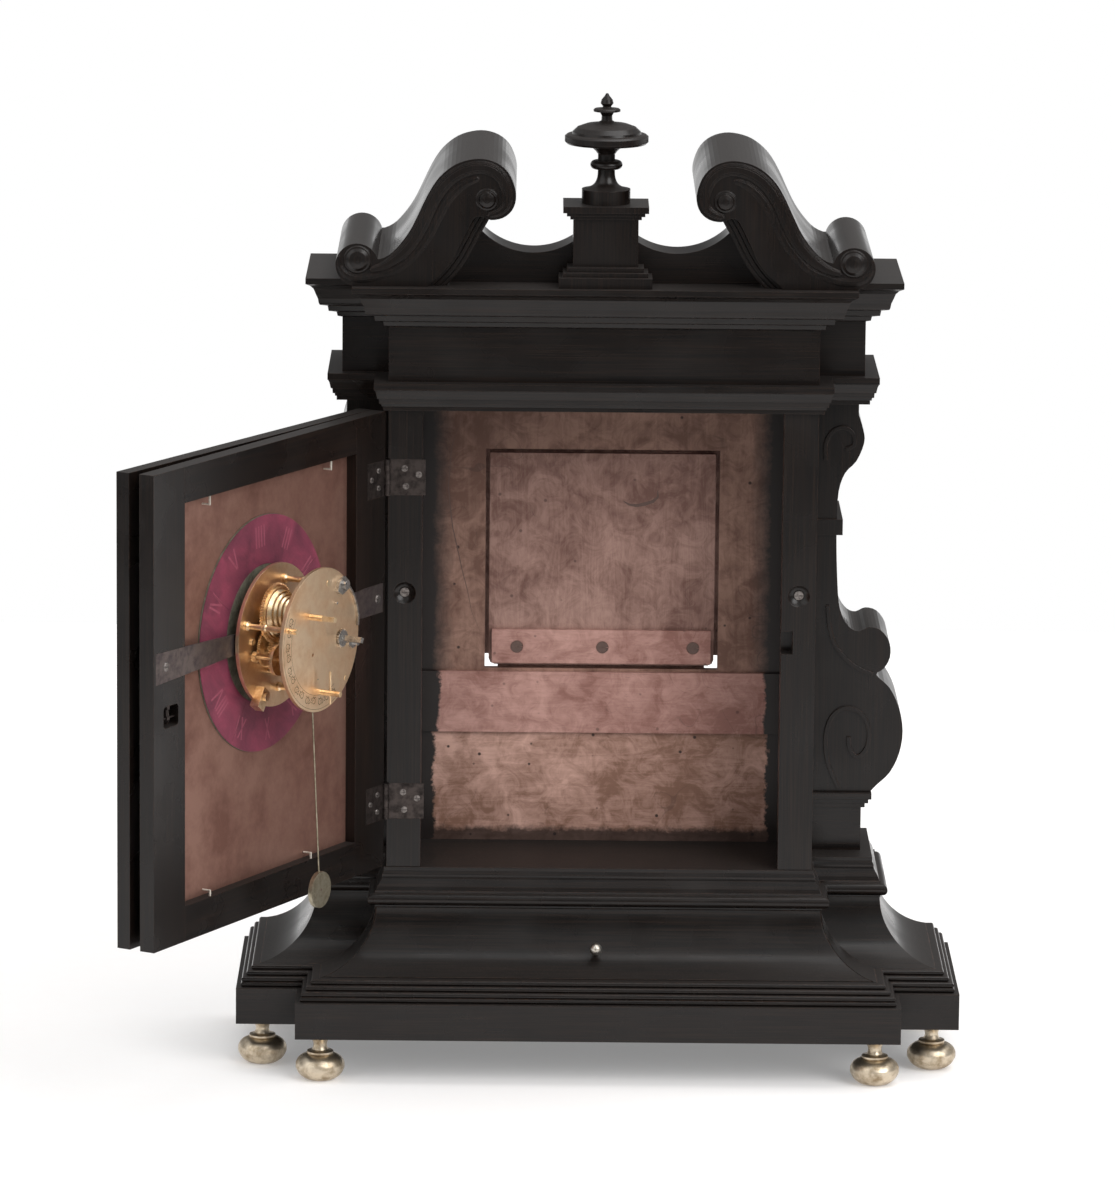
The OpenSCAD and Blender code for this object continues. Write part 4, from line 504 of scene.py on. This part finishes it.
# %% [markdown]
# ## Silk behind the numerals
#
# The hours are cut through the turning disc and a ring of crimson silk is glued behind them, so
# that a lamp in the case makes the hour glow. The silk has faded in clouds and the glue has
# stained it. A plain silk weave has some forty threads to the centimetre, which is finer than a
# pixel here, so it is drawn at 0.8 mm to show at all. A little sheen gives the soft bloom that
# cloth has when seen along its face.

# %% Faded silk
silk, tree, shader, place = new_finish("faded_purple_silk")
silk_place = add(tree, "Mapping", {"Location": HINGE, "Rotation": (0, 0, -DOOR_OPEN),
                                   "Scale": (MM, MM, MM)}, {"Vector": place},
                 vector_type="TEXTURE")
fading = add(tree, "TexNoise", {"Scale": 1 / 22, "Detail": 6.0, "Roughness": 0.6,
                                "Distortion": 0.6}, {"Vector": silk_place.outputs[0]})
faded = add(tree, "MapRange", {"From Min": 0.34, "From Max": 0.68},
            {"Value": fading.outputs["Fac"]})
dye = add(tree, "Mix", {6: linear("#4f132a"), 7: linear("#822f47")}, {0: faded.outputs[0]},
          data_type="RGBA")
THREAD = 0.8
WAVES_PER_LENGTH = 0.314
weft = add(tree, "TexWave", {"Scale": WAVES_PER_LENGTH / THREAD}, {"Vector": silk_place.outputs[0]},
           bands_direction="Z")
warp = add(tree, "TexWave", {"Scale": WAVES_PER_LENGTH / THREAD}, {"Vector": silk_place.outputs[0]},
           bands_direction="X")
weave = add(tree, "Math", links={0: weft.outputs["Fac"], 1: warp.outputs["Fac"]},
            operation="MULTIPLY")
weave_tone = add(tree, "MapRange", {"To Min": 0.0, "To Max": 0.25}, {"Value": weave.outputs[0]})
cloth = add(tree, "Mix", {7: linear("#b0707f")}, {0: weave_tone.outputs[0], 6: dye.outputs[2]},
            data_type="RGBA")
relief = add(tree, "Bump", {"Strength": 0.4, "Distance": 0.05 * MM},
             {"Height": weave.outputs[0]})
tree.links.new(cloth.outputs[2], shader.inputs["Base Color"])
tree.links.new(relief.outputs[0], shader.inputs["Normal"])
shader.inputs["Roughness"].default_value = 0.6
shader.inputs["Sheen Weight"].default_value = 0.25
shader.inputs["Sheen Roughness"].default_value = 0.4
shader.inputs["Sheen Tint"].default_value = linear("#d9a0b0")
dress(silk, "silk_ring")

# %% [markdown]
# ## The hour disc, the gut line and the glass
#
# The disc is thin brass painted grey against rust and light leaks, with a bare pale rim. Gut
# is dried sheep's intestine: honey coloured, a little see-through, polished by use. The door
# glass is blown and flattened by hand, so its surface rolls by some hundredths of a millimetre
# over 40 mm and bends what is seen in it.

# %% Painted disc
disc_paint = worked_metal("grey_painted_brass_disc", "#7d7c6c", "#5a594d", 0.45, 0.6, 7, 0.4,
                          metallic=0.35, turn=-DOOR_OPEN, edge_shine=0.8)
dress(disc_paint, "hour_disc")

# %% Gut line
gut, tree, shader, place = new_finish("twisted_gut")
GUT_TWIST = 0.9 * MM
twist = add(tree, "TexWave", {"Scale": WAVES_PER_LENGTH / GUT_TWIST, "Distortion": 0.5},
            {"Vector": place}, bands_direction="DIAGONAL")
strand = add(tree, "Mix", {6: linear("#b58a52"), 7: linear("#8a6232")},
             {0: twist.outputs["Fac"]}, data_type="RGBA")
relief = add(tree, "Bump", {"Strength": 0.4, "Distance": 0.04 * MM},
             {"Height": twist.outputs["Fac"]})
tree.links.new(strand.outputs[2], shader.inputs["Base Color"])
tree.links.new(relief.outputs[0], shader.inputs["Normal"])
shader.inputs["Roughness"].default_value = 0.38
shader.inputs["Subsurface Weight"].default_value = 0.15
shader.inputs["Subsurface Radius"].default_value = (0.6 * MM, 0.4 * MM, 0.2 * MM)
shader.inputs["Subsurface Scale"].default_value = 1.0
dress(gut, "gut_line")

# %% Blown glass
glass, tree, shader, place = new_finish("blown_crown_glass")
roll = add(tree, "TexNoise", {"Scale": 1 / (40 * MM), "Detail": 1.0}, {"Vector": place})
relief = add(tree, "Bump", {"Strength": 0.12, "Distance": 0.2 * MM},
             {"Height": roll.outputs["Fac"]})
smears = add(tree, "TexNoise", {"Scale": 1 / (25 * MM), "Detail": 5.0}, {"Vector": place})
film = add(tree, "MapRange", {"From Min": 0.5, "From Max": 0.8, "To Min": 0.0, "To Max": 0.06},
           {"Value": smears.outputs["Fac"]})
tree.links.new(film.outputs[0], shader.inputs["Roughness"])
tree.links.new(relief.outputs[0], shader.inputs["Normal"])
shader.inputs["Base Color"].default_value = linear("#f2f7f2")
shader.inputs["Transmission Weight"].default_value = 1.0
shader.inputs["IOR"].default_value = 1.52
dress(glass, "glass_pane")

# %% [markdown]
# ## Thin work laid on the surfaces
#
# Engraved lines, cut numerals seen through cloth and seams are a few tenths of a millimetre
# wide and have next to no depth. Each is drawn as flat ribbons of mesh laid a twentieth of a
# millimetre over its surface. One function turns a list of lines into such a mesh, and a line
# that is marked to taper narrows at its ends as a graver's cut does.

# %% Ribbons on a surface
def ribbons(name, lines, to_place, finish, body):
    """Flat mesh strips along lines of (x, y) points; each line comes with its width in mm."""
    corners, faces = [], []
    for points, width, taper in lines:
        first = len(corners)
        last = len(points) - 1
        for i, (x, y) in enumerate(points):
            ax, ay = points[max(i - 1, 0)]
            bx, by = points[min(i + 1, last)]
            length = math.hypot(bx - ax, by - ay) or 1.0
            swell = math.sin(math.pi * (i + 0.35) / (last + 0.7)) if taper else 1.0
            ox = -(by - ay) / length * width * swell / 2
            oy = (bx - ax) / length * width * swell / 2
            corners += [to_place(x + ox, y + oy), to_place(x - ox, y - oy)]
        for i in range(last):
            a = first + 2 * i
            faces.append((a, a + 2, a + 3, a + 1))
    mesh = bpy.data.meshes.new(name)
    mesh.from_pydata([tuple(c) for c in corners], [], faces)
    mesh.materials.append(finish)
    piece = bpy.data.objects.new(name, mesh)
    bpy.context.scene.collection.objects.link(piece)
    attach(piece, body)
    print(name, len(lines), "lines,", len(faces), "faces")
    return piece


# %% [markdown]
# ### Engraving on the back plate
#
# A band of leaf scrolls runs round the lower rim of the back plate, on the side that faces the
# open case. It is a common pattern of engravers' copy books: a chain of spirals, turning left
# and right in turn, with small leaves between them. Where a maker would sign, the plate stays
# bare here. A cut line is a groove with a dark floor, so the ribbons are a darker, rougher
# brass.

# %% Leaf scrolls
engraved = worked_metal("engraved_brass_grooves", "#8a6a48", "#5f452b", 0.5, 0.7, 3, 0.2)
BAND_MIDDLE, BAND_HALF = 39.6, 3.4
PLATE_FACE = 36.54
CUT_WIDE, CUT_LEAF, CUT_RIM = 0.42, 0.5, 0.22


def on_band(angle, out):
    """Point of the band, by its angle round the plate and its distance off the middle line."""
    radius = BAND_MIDDLE + out
    return radius * math.cos(angle), radius * math.sin(angle)


scroll_lines = []
scroll_count = 13
band_start, band_end = math.radians(32), math.radians(-118)
for k in range(scroll_count):
    centre = band_start + (band_end - band_start) * (k + 0.5) / scroll_count
    side = 1 if k % 2 else -1
    spiral = []
    for i in range(19):
        turn = side * (0.6 + i * 0.55)
        size = 3.1 * (1 - i / 22)
        spiral.append(on_band(centre + size * math.sin(turn) / BAND_MIDDLE,
                              -side * 0.4 + size * math.cos(turn) * 0.95))
    scroll_lines.append((spiral, CUT_WIDE, True))
    for leaf in range(4):
        root = side * (0.9 + leaf * 0.75)
        stem = []
        for i in range(5):
            size = 2.0 + i * 0.5
            bend = root + side * i * 0.16
            stem.append(on_band(centre + size * math.sin(bend) / BAND_MIDDLE,
                                -side * 0.4 + size * math.cos(bend) * 0.85))
        scroll_lines.append((stem, CUT_LEAF, True))
for out in (-BAND_HALF - 1.0, BAND_HALF + 1.3):
    rim = [on_band(band_start + (band_end - band_start) * i / 60, out) for i in range(61)]
    scroll_lines.append((rim, CUT_RIM, False))
ribbons("back_plate_engraving", scroll_lines, lambda x, y: on_movement(x, y, PLATE_FACE),
        engraved, "dial_door")

# %% [markdown]
# ### Numerals seen through the silk, and its seams
#
# The strokes of the hours show from behind as slightly paler bars, because more light comes
# through where the disc is cut; the paler colour is painted light. The ring is pieced from a
# few lengths of silk, so narrow overlaps cross it, drawn as dark lines of painted shade.

# %% Hour strokes and seams
silk_pale, tree, shader, place = new_finish("silk_over_cut_numerals")
glow = add(tree, "TexNoise", {"Scale": 1 / (4 * MM), "Detail": 4.0}, {"Vector": place})
# The paler colour paints the light that comes through the cut strokes.
painted_glow_tone = add(tree, "Mix", {6: linear("#7d3749"), 7: linear("#9f5567")},
               {0: glow.outputs["Fac"]}, data_type="RGBA")
tree.links.new(painted_glow_tone.outputs[2], shader.inputs["Base Color"])
shader.inputs["Roughness"].default_value = 0.65
silk_seam, tree, shader, place = new_finish("silk_seam_shadow")
fray = add(tree, "TexNoise", {"Scale": 1 / (2 * MM), "Detail": 4.0}, {"Vector": place})
# The darker seam colour paints the shade along each overlap.
painted_seam_shade = add(tree, "Mix", {6: linear("#4a1a28"), 7: linear("#743545")},
               {0: fray.outputs["Fac"]}, data_type="RGBA")
tree.links.new(painted_seam_shade.outputs[2], shader.inputs["Base Color"])
shader.inputs["Roughness"].default_value = 0.7

HOUR_STROKES = {1: [0], 2: [-1.6, 1.6], 3: [-3.2, 0, 3.2], 4: [-4.8, -1.6, 1.6, 4.8],
                6: [3.6], 7: [2.6, 5.4], 8: [1.6, 4.4, 7.2], 9: [-4.6], 11: [4.6],
                12: [3.2, 6]}
HOUR_FIVES = {5: 0, 6: -2, 7: -3, 8: -4}
HOUR_TENS = {9: 1.6, 10: 0, 11: -1.6, 12: -2.8}
STROKE_LOW, STROKE_LONG = 56.0, 14.0
STROKE_WIDE, SEAM_WIDE = 1.4, 0.45
STROKE_DEPTH, SEAM_DEPTH = -5.75, -5.74
SEAM_ANGLES = (-62, 28, 146, 214)
HOUR_TURN = 26.0


def turned(hour, x, y):
    """Place of a numeral's point on the disc, for its hour."""
    angle = math.radians(90 - hour * 30 + HOUR_TURN)
    return (x * math.cos(angle) - y * math.sin(angle),
            x * math.sin(angle) + y * math.cos(angle))


hour_lines = []
for hour in range(1, 13):
    bars = [(x, x) for x in HOUR_STROKES.get(hour, [])]
    if hour in HOUR_FIVES:
        bars += [(HOUR_FIVES[hour] - 0.3, HOUR_FIVES[hour] - 3.7),
                 (HOUR_FIVES[hour] + 0.3, HOUR_FIVES[hour] + 3.7)]
    if hour in HOUR_TENS:
        bars += [(HOUR_TENS[hour] + 2.4, HOUR_TENS[hour] - 2.4),
                 (HOUR_TENS[hour] - 2.4, HOUR_TENS[hour] + 2.4)]
    for low, high in bars:
        bar = [turned(hour, low + (high - low) * t / 4, STROKE_LOW + STROKE_LONG * t / 4)
               for t in range(5)]
        hour_lines.append((bar, STROKE_WIDE, False))
ribbons("hours_through_silk", hour_lines, lambda x, y: on_movement(x, y, STROKE_DEPTH),
        silk_pale, "hour_wheel")
seam_lines = []
for degrees in SEAM_ANGLES:
    lean = math.radians(degrees)
    seam_lines.append(([(r * math.cos(lean + (r - 50) * 0.002),
                         r * math.sin(lean + (r - 50) * 0.002)) for r in range(46, 76, 4)],
                       SEAM_WIDE, False))
ribbons("silk_seams", seam_lines, lambda x, y: on_movement(x, y, SEAM_DEPTH), silk_seam,
        "hour_wheel")

# %% [markdown]
# ### Marks on the boards
#
# The hatch carries an old dark smear of glue, the upper board a long drying crack, and the end
# grain of the three plugs in the batten has taken up more stain than the wood around it.

# %% Smear, crack and plugs
old_stain, tree, shader, place = new_finish("old_glue_and_stain")
crumbs = add(tree, "TexNoise", {"Scale": 1 / (1.5 * MM), "Detail": 5.0, "Roughness": 0.7},
             {"Vector": place})
stain_tone = add(tree, "Mix", {6: linear("#473630"), 7: linear("#6d554c")},
                 {0: crumbs.outputs["Fac"]}, data_type="RGBA")
tree.links.new(stain_tone.outputs[2], shader.inputs["Base Color"])
shader.inputs["Roughness"].default_value = 0.6
CASE_HALF = 91.0
BOARD_FACE, BATTEN_FACE = 137.45, 134.45
PLUG_HEIGHT, PLUG_PLACES = 234.8, (-55.3, 1.4, 61.5)


def on_case(x, y, z):
    """Point on the case: x from its middle, y from its front edge, z from the plinth."""
    return Vector((CASE_RIGHT + x, CASE_BACK + y - CASE_HALF, FOOT + z)) * MM


smear = [(14.2, 333.1), (18, 330.8), (23, 330), (28, 331), (34, 333), (37.2, 336), (37, 340.5)]
ribbons("glue_smear", [(smear, 2.4, True)], lambda x, z: on_case(x, BOARD_FACE, z), old_stain,
        "hatch")
crack = [(-92.6, 386.8), (-97, 377), (-99.4, 367.3), (-101.3, 342.6), (-100, 328),
         (-98.3, 314.3), (-95, 300), (-91.9, 286), (-88, 271), (-85.4, 257.6), (-79, 243)]
ribbons("drying_crack", [(crack, 0.7, True)], lambda x, z: on_case(x, BOARD_FACE, z),
        old_stain, "case")
plug_rings = [([(middle + 2 * math.cos(k * math.pi / 12),
                 PLUG_HEIGHT + 2 * math.sin(k * math.pi / 12)) for k in range(25)], 3.9, False)
              for middle in PLUG_PLACES]
ribbons("plug_end_grain", plug_rings, lambda x, z: on_case(x, BATTEN_FACE, z), old_stain,
        "hatch")

# A punch mark sits in the middle of the pendulum's bob, where it was turned.
BOB_MIDDLE, BOB_FACE = (-7.97, -164.37), 32.85
punch = [(BOB_MIDDLE[0] + 0.4 * math.cos(k * math.pi / 6),
          BOB_MIDDLE[1] + 0.4 * math.sin(k * math.pi / 6)) for k in range(13)]
ribbons("bob_punch_mark", [(punch, 0.8, False)], lambda x, y: on_movement(x, y, BOB_FACE),
        old_stain, "pendulum")

# %% [markdown]
# ## The studio
#
# The clock stands on a pale table under one wide soft light from above, with a softer light
# from the right front and a fill from the left. Broad suns do the work of the softboxes, since
# their light has the same strength all over the floor. Behind the clock the surroundings are
# white, and in front they are dim, which keeps the waxed black faces black and lets only their
# curved tops catch the light.

# %% Floor
floor_finish, tree, shader, place = new_finish("pale_table_paper")
fibre = add(tree, "TexNoise", {"Scale": 1 / (12 * MM), "Detail": 4.0}, {"Vector": place})
paper = add(tree, "Mix", {6: linear("#e2e0df"), 7: linear("#e6e4e3")},
            {0: fibre.outputs["Fac"]}, data_type="RGBA")
seen = add(tree, "LightPath")
see_more = add(tree, "Math", links={0: seen.outputs["Is Camera Ray"],
                                    1: seen.outputs["Is Glossy Ray"]}, operation="MAXIMUM")
see_all = add(tree, "Math", links={0: see_more.outputs[0],
                                   1: seen.outputs["Is Transmission Ray"]},
              operation="MAXIMUM")
lift = add(tree, "Math", {1: 0.23}, {0: see_all.outputs[0]}, operation="MULTIPLY")
tree.links.new(paper.outputs[2], shader.inputs["Base Color"])
tree.links.new(lift.outputs[0], shader.inputs["Emission Strength"])
shader.inputs["Emission Color"].default_value = (1, 1, 1, 1)
shader.inputs["Roughness"].default_value = 0.85
shader.inputs["Specular IOR Level"].default_value = 0.2
FLOOR_HALF = 1.5
floor_mesh = bpy.data.meshes.new("table")
floor_mesh.from_pydata([(-FLOOR_HALF, -FLOOR_HALF, 0), (FLOOR_HALF, -FLOOR_HALF, 0),
                        (FLOOR_HALF, FLOOR_HALF, 0), (-FLOOR_HALF, FLOOR_HALF, 0)], [],
                       [(0, 1, 2, 3)])
floor_mesh.materials.append(floor_finish)
floor = bpy.data.objects.new("table", floor_mesh)
bpy.context.scene.collection.objects.link(floor)

# %% Surroundings
world = bpy.data.worlds.new("studio")
world.use_nodes = True
bpy.context.scene.world = world
tree = world.node_tree
tree.nodes.clear()
direction = add(tree, "TexCoord").outputs["Generated"]
split = add(tree, "SeparateXYZ", links={0: direction})
behind = add(tree, "MapRange", {"From Min": -0.25, "From Max": 0.55},
             {"Value": split.outputs["Y"]})
above = add(tree, "MapRange", {"From Min": 0.25, "From Max": 0.95},
            {"Value": split.outputs["Z"]})
low = add(tree, "MapRange", {"From Min": 0.20, "From Max": 0.02},
          {"Value": split.outputs["Z"]})
backdrop = add(tree, "Math", links={0: behind.outputs[0], 1: low.outputs[0]},
               operation="MULTIPLY")
open_side = add(tree, "Math", links={0: backdrop.outputs[0], 1: above.outputs[0]},
                operation="MAXIMUM")
level = add(tree, "MapRange", {"To Min": 0.19, "To Max": 0.8}, {"Value": open_side.outputs[0]})
ray = add(tree, "LightPath")
gloss_behind = add(tree, "Math", links={0: ray.outputs["Is Glossy Ray"],
                                        1: backdrop.outputs[0]}, operation="MULTIPLY")
direct = add(tree, "Math", links={0: ray.outputs["Is Camera Ray"],
                                  1: ray.outputs["Is Transmission Ray"]},
             operation="MAXIMUM")
shown = add(tree, "Math", links={0: direct.outputs[0], 1: gloss_behind.outputs[0]},
            operation="MAXIMUM")
brightness = add(tree, "Mix", {3: 1.0}, {0: shown.outputs[0], 2: level.outputs[0]},
                 data_type="FLOAT")
studio_light = add(tree, "Background", {"Color": (1, 1, 1, 1)},
                   {"Strength": brightness.outputs[0]})
add(tree, "OutputWorld", links={"Surface": studio_light.outputs[0]})


# %% Soft lights
def soft_sun(name, towards, spread, strength):
    """Wide sun that shines from the given direction onto the clock."""
    lamp = bpy.data.lights.new(name, "SUN")
    lamp.energy = strength
    lamp.angle = math.radians(spread)
    holder = bpy.data.objects.new(name, lamp)
    holder.rotation_euler = Vector(towards).to_track_quat("Z", "Y").to_euler()
    bpy.context.scene.collection.objects.link(holder)
    print(name, "strength", strength)


soft_sun("light_above", (0.28, 0.12, 1.0), 45, 1.3)
soft_sun("light_right_front", (0.85, -0.95, 0.8), 40, 1.9)
soft_sun("light_left_fill", (-0.9, -0.7, 0.55), 60, 0.8)

# %% [markdown]
# ## The camera
#
# The photograph was taken with a long lens from a little above, almost square to the front.
# Its place was worked out from the clock's own corners. The lens is given in millimetres for a
# 36 mm sensor along the picture's longer side.

# %% Camera
CAMERA_PLACE = Vector((CASE_RIGHT - 46.1, CASE_BACK - 4675.8, 1238.7)) * MM
PAN, TILT, ROLL = (math.radians(a) for a in (0.23, 11.23, 0.56))
forward = Vector((math.sin(PAN) * math.cos(TILT), math.cos(PAN) * math.cos(TILT),
                  -math.sin(TILT)))
level_right = Vector((math.cos(PAN), -math.sin(PAN), 0))
level_up = level_right.cross(forward)
right = math.cos(ROLL) * level_right + math.sin(ROLL) * level_up
upward = -math.sin(ROLL) * level_right + math.cos(ROLL) * level_up
lens = bpy.data.cameras.new("long_lens")
lens.sensor_width = 36
lens.lens = 218.05
lens.shift_x = -0.0018
lens.shift_y = -0.0063
lens.clip_start, lens.clip_end = 0.05, 30
camera = bpy.data.objects.new("long_lens", lens)
camera.matrix_world = Matrix.Translation(CAMERA_PLACE) @ Matrix(
    (right, upward, -forward)).transposed().to_4x4()
bpy.context.scene.collection.objects.link(camera)
bpy.context.scene.camera = camera
bpy.context.scene.view_settings.view_transform = "Standard"
